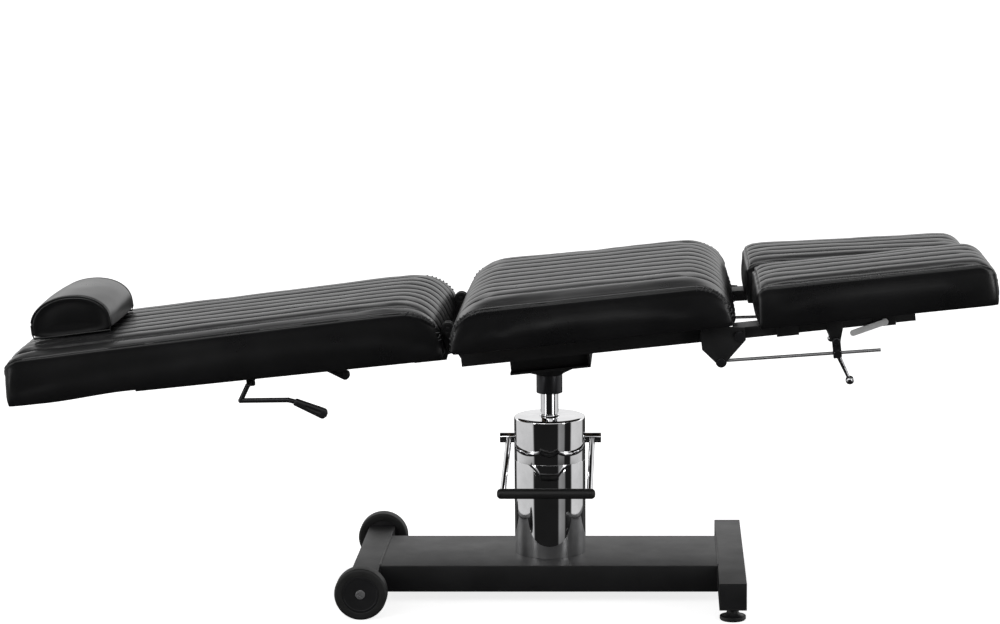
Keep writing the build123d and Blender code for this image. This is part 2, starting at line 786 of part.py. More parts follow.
release_path = (list(reversed(release_side(-release_bar_y))) + release_side(release_bar_y))
release_bar = bar(release_path[0], release_path[1], release_bar_radius)
for start, end in zip(release_path[1:], release_path[2:]):
    release_bar += bar(start, end, release_bar_radius)
    release_bar += Pos(*start) * Sphere(release_bend_radius)
keep("release_bar", release_bar, tilted=True)
grip_start = (release_grip_u, -release_bar_y, release_grip_w)
grip_end = (release_end_u, -release_bar_y, release_end_w)
grip = bar(grip_start, grip_end, grip_start_radius, grip_end_radius)
grip += Pos(*grip_end) * Sphere(grip_end_radius)
grip -= release_bar
keep("release_grips", both(grip), tilted=True)
clip = block(release_pivot_u - clip_width / 2, release_pivot_u + clip_width / 2,
             -back_rail_y - clip_width / 2, -back_rail_y + clip_width / 2,
             release_pivot_w - release_bar_radius - clip_wall, back_rail_low)
clip -= pin_y(release_pivot_u, release_pivot_w, -release_bar_y, 0,
              release_bar_radius + running_gap)
keep("release_bar_clips", both(clip), tilted=True)


# Gas strut: cylinder on the back frame, rod to the seat frame
strut_slope = (strut_seat_w - strut_back_w) / (strut_seat_u - strut_back_u)


def on_strut(reach, y=0.0):
    """The point on the strut's line at a distance along u from its back pin."""
    return (strut_back_u + reach, y, strut_back_w + strut_slope * reach)


strut_neck = strut_eye_radius + overrun
cylinder = bar(on_strut(strut_neck), on_strut(strut_cylinder_length), strut_cylinder_radius)
cylinder -= bar(on_strut(strut_cylinder_length - strut_rod_overlap - overrun),
                on_strut(strut_cylinder_length + overrun), strut_rod_radius + running_gap)
cylinder += bar(on_strut(strut_eye_radius - overrun), on_strut(strut_neck), strut_rod_radius)
cylinder += pin_y(strut_back_u, strut_back_w, -strut_eye_width / 2, strut_eye_width / 2,
                  strut_eye_radius)
cylinder += pin_y(strut_back_u, strut_back_w, -strut_ear_outer, strut_ear_outer,
                  strut_pin_radius)
keep("gas_strut_cylinder", cylinder, tilted=True)
strut_reach = strut_seat_u - strut_back_u
strut_rod = bar(on_strut(strut_cylinder_length - strut_rod_overlap),
                on_strut(strut_reach - strut_eye_radius + overrun), strut_rod_radius)
strut_rod += pin_y(strut_seat_u, strut_seat_w, -strut_eye_width / 2, strut_eye_width / 2,
                   strut_eye_radius)
strut_rod += pin_y(strut_seat_u, strut_seat_w, -strut_ear_outer, strut_ear_outer,
                   strut_pin_radius)
keep("gas_strut_rod", strut_rod, tilted=True)


# Leg hinge: shaft through the seat rails, knee plates and their bolts
plate_inner_y = knee_plate_y - plate_thickness / 2
plate_outer_y = knee_plate_y + plate_thickness / 2
keep("leg_hinge_shaft", pin_y(leg_pivot_u, leg_pivot_w, -plate_inner_y, plate_inner_y,
                              leg_shaft_radius), tilted=True)
knee_plate = side_plate([
    (leg_pivot_u - knee_left_reach, leg_pivot_w),
    (leg_pivot_u - knee_left_reach, -knee_left_drop),
    (knee_tip_u - knee_tip_radius, knee_tip_w),
    (knee_tip_u + knee_tip_radius, knee_tip_w),
    (knee_right_u, knee_bolt_w - knee_left_drop),
    (knee_right_u, leg_pivot_w + knee_bolt_radius),
    (leg_pivot_u, leg_pivot_w + knee_left_reach)], -plate_outer_y, -plate_inner_y)
knee_plate += pin_y(leg_pivot_u, leg_pivot_w, -plate_outer_y, -plate_inner_y, knee_left_reach)
knee_plate += pin_y(knee_tip_u, knee_tip_w, -plate_outer_y, -plate_inner_y, knee_tip_radius)
knee_plate -= pin_y(knee_bolt_u, knee_bolt_w, -plate_outer_y - overrun, 0, knee_bolt_radius)
knee_plate -= pin_y(knee_tip_u, knee_tip_w, -plate_outer_y - overrun, 0, tip_bolt_radius)
keep("knee_plates", both(knee_plate), tilted=True)
upper_bolt = pin_y(knee_bolt_u, knee_bolt_w, -plate_outer_y, -arm_inner_y + plate_thickness,
                   knee_bolt_radius)
upper_bolt += pin_y(knee_bolt_u, knee_bolt_w, -plate_outer_y - knee_bolt_head, -plate_outer_y,
                    knee_bolt_head_radius)
tip_bolt = pin_y(knee_tip_u, knee_tip_w, -plate_outer_y, -rod_y + rod_eye_width,
                 tip_bolt_radius)
tip_bolt += pin_y(knee_tip_u, knee_tip_w, -plate_outer_y - knee_bolt_head / 2, -plate_outer_y,
                  clamp_head_radius)
keep("knee_bolts", Compound([upper_bolt, mirrored(upper_bolt),
                             tip_bolt, mirrored(tip_bolt)]), tilted=True)

# Leg arm with the ear that carries the rod clamp
arm_top = leg_bottom - soft_gap
arm_low = arm_top - arm_height
arm = square_tube(arm_start, arm_end, -arm_outer_y, -arm_inner_y, arm_low, arm_top, arm_wall, "x")
arm -= pin_y(knee_bolt_u, knee_bolt_w, -arm_outer_y - overrun, -arm_inner_y + overrun,
             knee_bolt_radius + running_gap)
ear_end_y = arm_outer_y + ear_thickness
clamp_ear = side_plate([
    (clamp_pivot_u - ear_half_width, arm_top - ear_thickness),
    (clamp_pivot_u - ear_half_width, arm_low),
    (clamp_pivot_u - clamp_top_radius, clamp_pivot_w),
    (clamp_pivot_u + clamp_top_radius, clamp_pivot_w),
    (clamp_pivot_u + ear_half_width, arm_low),
    (clamp_pivot_u + ear_half_width, arm_top - ear_thickness)], -ear_end_y, -arm_outer_y)
clamp_ear += pin_y(clamp_pivot_u, clamp_pivot_w, -ear_end_y, -arm_outer_y, clamp_top_radius)
clamp_ear -= pin_y(clamp_pivot_u, clamp_pivot_w, -ear_end_y - overrun, 0,
                   clamp_pin_radius + running_gap)
leg_arm = arm + clamp_ear

# Support rod from the knee plate's tip through the clamp
rod_start = (knee_tip_u, -rod_y, knee_tip_w)
rod_end = (rod_end_u, -rod_y, rod_end_w)
support_rod = bar(rod_start, rod_end, rod_radius)
support_rod += pin_y(knee_tip_u, knee_tip_w, -rod_y - rod_eye_width / 2, -rod_y + rod_eye_width / 2,
                     rod_eye_radius)
support_rod -= pin_y(knee_tip_u, knee_tip_w, -rod_y - rod_eye_width, -rod_y + rod_eye_width,
                     tip_bolt_radius + running_gap)

# Clamp block that swings on the ear's bolt
rod_drop_share = (rod_end_w - knee_tip_w) / (rod_end_u - knee_tip_u)
rod_at_clamp_w = knee_tip_w + rod_drop_share * (clamp_pivot_u - knee_tip_u)
clamp = block(clamp_pivot_u - clamp_half_width, clamp_pivot_u + clamp_half_width,
              -clamp_end_y, -clamp_start_y, clamp_pivot_w - clamp_drop, clamp_pivot_w)
clamp += pin_y(clamp_pivot_u, clamp_pivot_w, -clamp_end_y, -clamp_start_y, clamp_half_width)
clamp_bore = bar((clamp_pivot_u - 2 * ear_half_width, -rod_y,
                  rod_at_clamp_w - rod_drop_share * 2 * ear_half_width),
                 (clamp_pivot_u + 2 * ear_half_width, -rod_y,
                  rod_at_clamp_w + rod_drop_share * 2 * ear_half_width), clamp_bore_radius)
clamp_boss_y = clamp_end_y + clamp_boss
clamp += pin_y(clamp_pivot_u, rod_at_clamp_w, -clamp_boss_y, -clamp_end_y, lever_hub_radius)
clamp -= clamp_bore
clamp -= pin_y(clamp_pivot_u, rod_at_clamp_w, -clamp_boss_y - overrun, -rod_y,
               lever_screw_radius + running_gap)
clamp += pin_y(clamp_pivot_u, clamp_pivot_w, -ear_end_y, -clamp_end_y, clamp_pin_radius)
clamp_head = pin_y(clamp_pivot_u, clamp_pivot_w, -ear_end_y - clamp_head_radius,
                   -ear_end_y - soft_gap, clamp_head_radius)
clamp += fillet(clamp_head.edges().filter_by(GeomType.CIRCLE).sort_by(Axis.Y)[0],
                clamp_head_radius / 2)
clamp += pin_y(clamp_pivot_u, clamp_pivot_w, -ear_end_y - soft_gap, -ear_end_y,
               clamp_pin_radius)

# Ball-ended clamp lever
hub_start_y = clamp_boss_y + soft_gap
lever_screw_w = rod_at_clamp_w
lever = pin_y(clamp_pivot_u, lever_screw_w, -hub_start_y - lever_hub_width, -hub_start_y,
              lever_hub_radius)
lever += pin_y(clamp_pivot_u, lever_screw_w, -hub_start_y, -rod_y - clamp_bore_radius,
               lever_screw_radius)
lever_tip = (clamp_pivot_u + lever_drop_u, -lever_y, lever_screw_w - lever_drop_w)
lever += bar((clamp_pivot_u, -lever_y, lever_screw_w), lever_tip, lever_root_radius,
             lever_tip_radius)
lever += Pos(*lever_tip) * Sphere(lever_ball_radius)

# Carrier plate with its keepers round the arm, and the flat cam lever on it
carrier = block(carrier_start, carrier_end, -arm_outer_y - carrier_side,
                -arm_inner_y + carrier_side, leg_bottom, leg_bottom + carrier_thickness)
keeper_out = arm_outer_y + soft_gap
keeper_in = arm_inner_y - soft_gap
for place_u in keeper_places:
    keeper = block(place_u - keeper_length / 2, place_u + keeper_length / 2,
                   -keeper_out - carrier_thickness, -keeper_in + carrier_thickness,
                   arm_low - soft_gap - carrier_thickness, leg_bottom)
    keeper -= block(place_u - keeper_length, place_u + keeper_length, -keeper_out, -keeper_in,
                    arm_low - soft_gap, leg_bottom + overrun)
    keeper -= block(place_u - keeper_length, place_u + keeper_length, -keeper_out + keeper_lip,
                    -keeper_in - keeper_lip, -rail_height, leg_bottom)
    carrier += keeper
cam_wall_y = keeper_out + carrier_thickness
carrier -= pin_y(cam_pivot_u, cam_pivot_w, -cam_wall_y - overrun, -keeper_out + overrun,
                 cam_pin_radius + running_gap)
cam_end = (cam_pivot_u + cam_reach_u, cam_pivot_w + cam_reach_w)
cam_turn = degrees(atan2(cam_reach_w, cam_reach_u))
cam_length = sqrt(cam_reach_u ** 2 + cam_reach_w ** 2)
cam_start_y = cam_wall_y + soft_gap
cam_lever = pin_y(cam_pivot_u, cam_pivot_w, -cam_start_y - cam_lever_thickness, -cam_start_y,
                  cam_boss_radius)
cam_lever += pin_y(cam_end[0], cam_end[1], -cam_start_y - cam_lever_thickness, -cam_start_y,
                   cam_lever_width / 2)
cam_side_u = -sin(radians(cam_turn)) * cam_lever_width / 2
cam_side_w = cos(radians(cam_turn)) * cam_lever_width / 2
cam_lever += side_plate([
    (cam_pivot_u + cam_side_u, cam_pivot_w + cam_side_w),
    (cam_end[0] + cam_side_u, cam_end[1] + cam_side_w),
    (cam_end[0] - cam_side_u, cam_end[1] - cam_side_w),
    (cam_pivot_u - cam_side_u, cam_pivot_w - cam_side_w)],
    -cam_start_y - cam_lever_thickness, -cam_start_y)
cam_lever += pin_y(cam_pivot_u, cam_pivot_w, -cam_start_y, -keeper_out - soft_gap, cam_pin_radius)

leg_cushion = cushion(leg_start, leg_end, -leg_outer_y, -leg_inner_y, leg_bottom, leg_seam,
                      leg_crown, leg_border, leg_channels, leg_knee_end, toe_end)
leg_cushion -= block(carrier_start, carrier_end, -arm_outer_y - carrier_side,
                     -arm_inner_y + carrier_side, leg_bottom - overrun,
                     leg_bottom + carrier_thickness)


for side, place, tilt in (("near", lambda s: s, 0.0), ("far", mirrored, far_leg_tilt)):
    def on_leg(shape):
        return turned(place(shape), knee_bolt_u, knee_bolt_w, tilt)

    slide = Pos(far_pad_slide if side == "far" else 0.0, 0, 0)

    def on_clamp(shape):
        return on_leg(turned(shape, clamp_pivot_u, clamp_pivot_w, -tilt * (1 - rod_follow)))

    keep(f"leg_arm_{side}", on_leg(leg_arm), tilted=True)
    keep(f"leg_carrier_{side}", on_leg(slide * carrier), tilted=True)
    keep(f"leg_cushion_{side}", on_leg(slide * leg_cushion), tilted=True)
    keep(f"cam_lever_{side}", on_leg(slide * cam_lever), tilted=True)
    keep(f"support_rod_{side}", turned(place(support_rod), knee_tip_u, knee_tip_w,
                                       tilt * rod_follow), tilted=True)
    keep(f"rod_clamp_{side}", on_clamp(clamp), tilted=True)
    keep(f"clamp_lever_{side}", on_clamp(lever), tilted=True)

# The part's origin is on the floor, under the middle of its overall box
boxes = [shape.bounding_box() for shape in nodes.values()]
middle_x = (min(b.min.X for b in boxes) + max(b.max.X for b in boxes)) / 2
middle_y = (min(b.min.Y for b in boxes) + max(b.max.Y for b in boxes)) / 2
centre = Pos(-middle_x, -middle_y, -min(b.min.Z for b in boxes))
print("nodes", len(nodes), "shift", centre.position)
for name, shape in nodes.items():
    export_step(centre * shape, f"parts/{name}.step")
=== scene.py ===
import json
from collections import namedtuple
from math import pi, sin, cos, radians, atan2, exp
import bpy
import bmesh
import numpy as np
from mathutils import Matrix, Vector, noise
from mathutils.kdtree import KDTree


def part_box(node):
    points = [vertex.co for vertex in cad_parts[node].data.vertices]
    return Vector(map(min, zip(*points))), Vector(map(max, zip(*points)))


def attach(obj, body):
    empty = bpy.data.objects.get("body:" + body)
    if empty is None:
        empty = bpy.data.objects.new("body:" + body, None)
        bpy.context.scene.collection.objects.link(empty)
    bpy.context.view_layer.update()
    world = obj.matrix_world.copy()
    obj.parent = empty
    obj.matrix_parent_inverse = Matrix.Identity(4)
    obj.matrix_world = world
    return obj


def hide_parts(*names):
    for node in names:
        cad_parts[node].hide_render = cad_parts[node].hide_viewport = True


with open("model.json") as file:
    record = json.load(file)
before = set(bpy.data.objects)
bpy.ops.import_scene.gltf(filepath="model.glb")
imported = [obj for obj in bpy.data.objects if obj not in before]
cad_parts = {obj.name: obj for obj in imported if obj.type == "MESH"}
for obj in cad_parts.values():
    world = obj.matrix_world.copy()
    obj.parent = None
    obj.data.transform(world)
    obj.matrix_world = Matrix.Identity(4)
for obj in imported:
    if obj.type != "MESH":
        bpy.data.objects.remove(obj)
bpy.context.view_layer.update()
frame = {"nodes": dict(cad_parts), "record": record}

nodes = frame["nodes"]
scene = bpy.context.scene

# The seat frame's own directions, in millimetres: u along the seat, y across it, w up from the
# rails' underside. Its origin is over the column, at the height seat_plane.
tilt = radians(6.0)
seat_plane = 482.5
knee_bolt_u, knee_bolt_w = 353.5, 9.4
far_leg_turn = 2.9
far_pad_slide = -14.0
pump_low, pump_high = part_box("ram_seal_ring")
pump_x = (pump_low[0] + pump_high[0]) / 2


def seat_point(u, y, w):
    """A point of the tilted frame, in the scene's metres."""
    return Vector((pump_x + (u * cos(tilt) - w * sin(tilt)) / 1000, y / 1000,
                   (seat_plane + u * sin(tilt) + w * cos(tilt)) / 1000))


def on_leg(u, w, spec):
    """A cushion's point after its slide along the leg and the leg's turn about the knee bolt."""
    if not spec["turn"]:
        return u, w
    a = radians(spec["turn"])
    du, dw = u + spec["slide"] - knee_bolt_u, w - knee_bolt_w
    return knee_bolt_u + du * cos(a) + dw * sin(a), knee_bolt_w - du * sin(a) + dw * cos(a)


# Camera
cam_data = bpy.data.cameras.new("camera")
cam = bpy.data.objects.new("camera", cam_data)
scene.collection.objects.link(cam)
camera_right, camera_back, camera_height, camera_down = 0.2081, 5.2961, 1.403, 9.34
cam.location = (pump_x + camera_right, -camera_back, camera_height)
cam.rotation_euler = (radians(90 - camera_down), 0, 0)
cam_data.lens = 103.1
cam_data.sensor_width = 36
cam_data.shift_x = -0.16
cam_data.clip_end = 60
scene.camera = cam

# Materials


def group(name, inputs, output, build):
    """A shared node group on Object coordinates, with one output."""
    tree = bpy.data.node_groups.new(name, "ShaderNodeTree")
    for label, value in inputs:
        sock = tree.interface.new_socket(name=label, in_out="INPUT", socket_type="NodeSocketFloat")
        sock.default_value = value
    tree.interface.new_socket(name=output, in_out="OUTPUT", socket_type="NodeSocketFloat")
    gin = tree.nodes.new("NodeGroupInput")
    gout = tree.nodes.new("NodeGroupOutput")
    coord = tree.nodes.new("ShaderNodeTexCoord")
    tree.links.new(build(tree, gin, coord.outputs["Object"]), gout.inputs[0])
    return tree


def math_node(tree, op, a, b, clamp=False):
    n = tree.nodes.new("ShaderNodeMath")
    n.operation = op
    n.use_clamp = clamp
    for i, v in enumerate((a, b)):
        if isinstance(v, (int, float)):
            n.inputs[i].default_value = v
        else:
            tree.links.new(v, n.inputs[i])
    return n.outputs[0]


def noise_node(tree, vec, scale, detail=3.0, rough=0.5):
    n = tree.nodes.new("ShaderNodeTexNoise")
    tree.links.new(vec, n.inputs["Vector"])
    if isinstance(scale, (int, float)):
        n.inputs["Scale"].default_value = scale
    else:
        tree.links.new(scale, n.inputs["Scale"])
    n.inputs["Detail"].default_value = detail
    n.inputs["Roughness"].default_value = rough
    return n.outputs["Fac"]


def voronoi_node(tree, vec, scale):
    n = tree.nodes.new("ShaderNodeTexVoronoi")
    n.feature = "DISTANCE_TO_EDGE"
    tree.links.new(vec, n.inputs["Vector"])
    n.inputs["Scale"].default_value = scale
    return n.outputs["Distance"]


def grain_build(tree, gin, vec):
    """Embossed vinyl grain: small cells with soft valleys, over slow creases."""
    cells = voronoi_node(tree, vec, 820)
    cells = math_node(tree, "MULTIPLY", cells, 2.2, True)
    fine = noise_node(tree, vec, 1500, 2)
    creases = noise_node(tree, vec, 30, 2, 0.5)
    a = math_node(tree, "MULTIPLY", cells, 0.5)
    b = math_node(tree, "MULTIPLY", fine, 0.25)
    c = math_node(tree, "MULTIPLY", creases, 1.6)
    return math_node(tree, "ADD", math_node(tree, "ADD", a, b), c)


def peel_build(tree, gin, vec):
    """Powder coat: a faint orange peel with a few coarser lumps."""
    a = noise_node(tree, vec, 900, 2)
    b = math_node(tree, "MULTIPLY", noise_node(tree, vec, 220, 3), 1.4)
    return math_node(tree, "ADD", a, b)


def smudge_build(tree, gin, vec):
    """Slow change of roughness: handling marks and dust, from 0 to 1."""
    a = noise_node(tree, vec, gin.outputs["Scale"], 5, 0.62)
    return math_node(tree, "MULTIPLY", math_node(tree, "SUBTRACT", a, 0.28), 2.1, True)


grain = group("vinyl grain", (), "Height", grain_build)
peel = group("powder coat", (), "Height", peel_build)
smudge = group("smudges", (("Scale", 14.0),), "Amount", smudge_build)


def material(name, colour, rough, metal=0.0, spread=0.05, bump=None, strength=0.1, distance=0.0003,
             smudge_scale=14.0, **sockets):
    """A procedural material: roughness and colour change with the smudges, bump from a group."""
    m = bpy.data.materials.new(name)
    m.use_nodes = True
    tree = m.node_tree
    shader = tree.nodes["Principled BSDF"]
    shader.inputs["Metallic"].default_value = metal
    for key, value in sockets.items():
        shader.inputs[key.replace("_", " ")].default_value = value
    sm = tree.nodes.new("ShaderNodeGroup")
    sm.node_tree = smudge
    sm.inputs["Scale"].default_value = smudge_scale
    ramp = tree.nodes.new("ShaderNodeMapRange")
    tree.links.new(sm.outputs[0], ramp.inputs["Value"])
    ramp.inputs["To Min"].default_value = rough - spread
    ramp.inputs["To Max"].default_value = rough + spread
    tree.links.new(ramp.outputs[0], shader.inputs["Roughness"])
    mix = tree.nodes.new("ShaderNodeMix")
    mix.data_type = "RGBA"
    tree.links.new(sm.outputs[0], mix.inputs["Factor"])
    mix.inputs["A"].default_value = (*colour, 1)
    mix.inputs["B"].default_value = (*(c * 1.25 + 0.002 for c in colour), 1)
    tree.links.new(mix.outputs["Result"], shader.inputs["Base Color"])
    if bump:
        g = tree.nodes.new("ShaderNodeGroup")
        g.node_tree = bump
        b = tree.nodes.new("ShaderNodeBump")
        b.inputs["Strength"].default_value = strength
        b.inputs["Distance"].default_value = distance
        tree.links.new(g.outputs[0], b.inputs["Height"])
        tree.links.new(b.outputs[0], shader.inputs["Normal"])
    return m


vinyl = material("upholstery", (0.0055, 0.0055, 0.006), 0.30, spread=0.04, bump=grain, strength=0.07,
                 distance=0.0003, smudge_scale=9, Coat_Weight=0.18, Coat_Roughness=0.32)
# The thread is paler than the cover. That is partly its own colour and partly a painted highlight,
# lightened so the lacing over the end seams shows as light strokes.
thread = material("thread", (0.034, 0.034, 0.036), 0.40, bump=peel, strength=0.2)
powder = material("black_frame", (0.0085, 0.0085, 0.0092), 0.46, spread=0.05, bump=peel, strength=0.16)
chrome = material("chrome_pump", (0.80, 0.80, 0.81), 0.045, metal=1.0, spread=0.02, smudge_scale=22)
plastic = material("black_plastic", (0.011, 0.011, 0.012), 0.42, spread=0.07, bump=peel, strength=0.22)
gloss = material("gloss_ball", (0.58, 0.58, 0.59), 0.14, metal=1.0, spread=0.04)
tyre = material("tyre_rubber", (0.012, 0.012, 0.012), 0.55, spread=0.08, bump=peel, strength=0.35)
foot = material("foot_rubber", (0.010, 0.010, 0.010), 0.50, spread=0.08, bump=peel, strength=0.35)
zinc = material("zinc_steel", (0.46, 0.46, 0.47), 0.30, metal=0.8, spread=0.08, smudge_scale=60,
                bump=peel, strength=0.08)
dark = material("dark_steel", (0.035, 0.035, 0.038), 0.30, metal=0.7, spread=0.08, bump=peel, strength=0.1)
grey = material("grey_metal", (0.66, 0.66, 0.66), 0.38, metal=0.35, spread=0.08, bump=peel, strength=0.12)
bronze = material("bronze", (0.36, 0.24, 0.11), 0.30, metal=1.0, spread=0.08, smudge_scale=40)


def plywood_material():
    """Birch plywood: long grain along the seat and darker glue lines through the thickness."""
    m = material("plywood", (0.30, 0.20, 0.11), 0.62, spread=0.06, bump=peel, strength=0.2)
    tree = m.node_tree
    coord = tree.nodes.new("ShaderNodeTexCoord")
    turn = tree.nodes.new("ShaderNodeMapping")
    turn.inputs["Rotation"].default_value = (0, tilt, 0)
    turn.inputs["Scale"].default_value = (1, 9, 9)
    tree.links.new(coord.outputs["Object"], turn.inputs["Vector"])
    streak = noise_node(tree, turn.outputs[0], 26, 6, 0.6)
    ramp = tree.nodes.new("ShaderNodeValToRGB")
    ramp.color_ramp.elements[0].position = 0.3
    ramp.color_ramp.elements[0].color = (0.20, 0.125, 0.065, 1)
    ramp.color_ramp.elements[1].position = 0.7
    ramp.color_ramp.elements[1].color = (0.40, 0.28, 0.16, 1)
    tree.links.new(streak, ramp.inputs[0])
    tree.links.new(ramp.outputs[0], tree.nodes["Principled BSDF"].inputs["Base Color"])
    return m


plywood = plywood_material()
finish = {"black_frame": powder, "chrome_pump": chrome, "upholstery": vinyl, "black_plastic": plastic,
          "gloss_ball": gloss, "tyre_rubber": tyre, "foot_rubber": foot, "zinc_steel": zinc,
          "dark_steel": dark, "grey_metal": grey, "plywood": plywood, "bronze": bronze}

own_finish = {"back_hinge_pins": powder, "ram_seal_ring": chrome, "knee_bolts": dark}

body_of_node = {}
for body, entry in frame["record"]["behaviour"]["bodies"].items():
    for name in (entry["nodes"] if isinstance(entry, dict) else entry):
        body_of_node[name] = body
slot_of_node = {part["node"]: part["material_slot"] for part in frame["record"]["subparts"]}

# Helpers for pieces


def add(name, mesh, mat, body, smooth=None):
    """Links a finished mesh as a piece that rides on a body."""
    obj = bpy.data.objects.new(name, mesh)
    scene.collection.objects.link(obj)
    if mat is not None:
        mesh.materials.clear()
        mesh.materials.append(mat)
    if smooth is not None:
        smooth_by_angle(mesh, smooth)
    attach(obj, body)
    return obj


def smooth_by_angle(mesh, degrees_limit):
    """Smooth faces, with sharp edges where two faces meet at more than the limit."""
    bm = bmesh.new()
    bm.from_mesh(mesh)
    for f in bm.faces:
        f.smooth = True
    for e in bm.edges:
        e.smooth = not (len(e.link_faces) == 2 and e.calc_face_angle(0) > radians(degrees_limit))
    bm.to_mesh(mesh)
    bm.free()


def mesh_from(name, verts, faces):
    """A mesh with its double points merged and its faces turned outwards."""
    mesh = bpy.data.meshes.new(name)
    mesh.from_pydata([tuple(v) for v in verts], [], faces)
    bm = bmesh.new()
    bm.from_mesh(mesh)
    bmesh.ops.remove_doubles(bm, verts=bm.verts, dist=1e-6)
    bmesh.ops.recalc_face_normals(bm, faces=bm.faces)
    bm.to_mesh(mesh)
    bm.free()
    mesh.update()
    return mesh


def join_meshes(name, meshes):
    """One mesh from several, with no point merged."""
    bm = bmesh.new()
    for m in meshes:
        bm.from_mesh(m)
    out = bpy.data.meshes.new(name)
    bm.to_mesh(out)
    bm.free()
    return out


def frame_at(along):
    """Two directions square to the given one and to each other."""
    along = along.normalized()
    side = along.cross(Vector((0, 0, 1)))
    if side.length < 0.1:
        side = along.cross(Vector((1, 0, 0)))
    side.normalize()
    return side, side.cross(along)


def tube(name, points, radius, sides=16, closed=False, radii=None):
    """A round bar through points, with one radius or one for each point."""
    verts, faces = [], []
    n = len(points)
    for i, p in enumerate(points):
        before = points[(i - 1) % n] if (closed or i > 0) else p
        after = points[(i + 1) % n] if (closed or i < n - 1) else p
        side, up = frame_at(after - before)
        r = radii[i] if radii else radius
        for k in range(sides):
            a = 2 * pi * k / sides
            verts.append(p + side * (r * cos(a)) + up * (r * sin(a)))
    rings = n if closed else n - 1
    for i in range(rings):
        j = (i + 1) % n
        for k in range(sides):
            m = (k + 1) % sides
            faces.append((i * sides + k, i * sides + m, j * sides + m, j * sides + k))
    if not closed:
        faces.append(tuple(reversed(range(sides))))
        faces.append(tuple(range((n - 1) * sides, n * sides)))
    return mesh_from(name, verts, faces)


def dressed(node, width, angle=32, segments=3):
    """A copy of a hard CAD node, merged and with softened edges, in place of the node."""
    mesh = nodes[node].data.copy()
    bm = bmesh.new()
    bm.from_mesh(mesh)
    bmesh.ops.remove_doubles(bm, verts=bm.verts, dist=2e-5)
    bmesh.ops.dissolve_limit(bm, angle_limit=radians(0.6), verts=bm.verts, edges=bm.edges)
    bm.to_mesh(mesh)
    bm.free()
    obj = bpy.data.objects.new(node + "_finished", mesh)
    scene.collection.objects.link(obj)
    bevel = obj.modifiers.new("edge", "BEVEL")
    bevel.width = width / 1000
    bevel.segments = segments
    bevel.limit_method = "ANGLE"
    bevel.angle_limit = radians(angle)
    bevel.use_clamp_overlap = True
    depsgraph = bpy.context.evaluated_depsgraph_get()
    done = bpy.data.meshes.new_from_object(obj.evaluated_get(depsgraph))
    obj.modifiers.clear()
    obj.data = done
    done.materials.clear()
    done.materials.append(own_finish.get(node, finish[slot_of_node[node]]))
    smooth_by_angle(done, 40)
    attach(obj, body_of_node[node])
    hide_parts(node)
    return obj


# The rounding of each hard piece's edges, in millimetres. The round bars need none.
edge_width = {
    "base_beam": 1.6, "front_cross_tube": 2.0, "rear_cross_tube": 2.0, "tube_end_plugs": 1.0,
    "wheel_axles": 0.5, "pump_flange": 0.8, "pump_flange_bolts": 0.6, "ram_guide_bush": 0.4,
    "ram_seal_ring": 0.6, "rocker_shaft": 0.6, "foot_bar_sleeve": 1.2, "seat_socket": 0.8,
    "seat_mount_plate": 0.6, "seat_channel": 0.8, "seat_mount_bolts": 0.5, "seat_rails": 1.4,
    "seat_cross_tubes": 1.2, "back_hinge_brackets": 0.6, "back_hinge_pins": 0.6, "back_rails": 0.8,
    "back_cross_tubes": 0.6, "back_hinge_ears": 0.6, "release_bar_clips": 0.4,
    "gas_strut_cylinder": 0.5, "gas_strut_rod": 0.3, "leg_hinge_shaft": 0.6, "knee_plates": 0.7,
    "knee_bolts": 0.6, "leg_arm_near": 0.8, "leg_arm_far": 0.8, "leg_carrier_near": 0.5,
    "leg_carrier_far": 0.5, "support_rod_near": 0.4, "support_rod_far": 0.4, "rod_clamp_near": 0.8,
    "rod_clamp_far": 0.8, "cam_lever_near": 0.6, "cam_lever_far": 0.6, "levelling_foot_near": 0.8,
    "levelling_foot_far": 0.8, "wheel_tyre_near": 0.8, "wheel_tyre_far": 0.8, "wheel_hub_near": 0.7,
    "wheel_hub_far": 0.7, "clamp_lever_near": 0.3, "clamp_lever_far": 0.3, "seat_board": 0.6,
    "back_board": 0.6, "pressure_barrel": 0.4, "lift_ram": 0.6, "pump_lower_shell": 0.4,
    "pump_upper_shell": 1.0,
}
for node, width in edge_width.items():
    dressed(node, width)
for node, obj in nodes.items():
    obj.data.materials.clear()
    obj.data.materials.append(finish[slot_of_node[node]])

# Cushions

# What a point of a cushion is: whether it is on a sewn face, how far it is from the nearest groove and
# from the seam, how far up the side and round an end's curve, its place along the length, and whether
# it is on the base or on an end.
Fact = namedtuple("Fact", "face groove from_seam level around u base end")
arc_steps = 14
groove_steps = (0.0, 0.06, 0.14, 0.26, 0.4, 0.6, 0.74, 0.86, 0.94)
side_levels = (0.0, 0.012, 0.03, 0.07, 0.13, 0.2, 0.28, 0.36, 0.45, 0.54, 0.63, 0.72, 0.8, 0.87, 0.93,
               0.965, 0.985, 1.0)
side_draw, side_swell, side_tuck = 4.0, 3.4, 3.2
end_swell, corner_draw, end_rings = 2.0, 5.0, 6
swell_cap = 7.0


def spread_evenly(start, end, count):
    return [start + (end - start) * i / count for i in range(count + 1)]


def stations_along(spec):
    """Places along the length, each with its fall, its share of the end's corner, how far round the
    end it is and how far along the straight run."""
    (run_a, fall_a), (run_b, fall_b) = spec["ends"]
    first, last = [], []
    for i in range(arc_steps + 1):
        a = radians(90 * i / arc_steps)
        inward, corner = 1 - cos(a), 1 - sin(a)
        first.append((spec["u0"] + run_a * inward, fall_a * corner, corner, i / arc_steps, 0.0))
        last.insert(0, (spec["u1"] - run_b * inward, fall_b * corner, corner, i / arc_steps, 1.0))
    start, end = spec["u0"] + run_a, spec["u1"] - run_b
    count = max(24, int((end - start) / 8))
    straight = [(u, 0.0, 0.0, 1.0, (u - start) / (end - start))
                for u in spread_evenly(start, end, count)[1:-1]]
    return first + straight + last


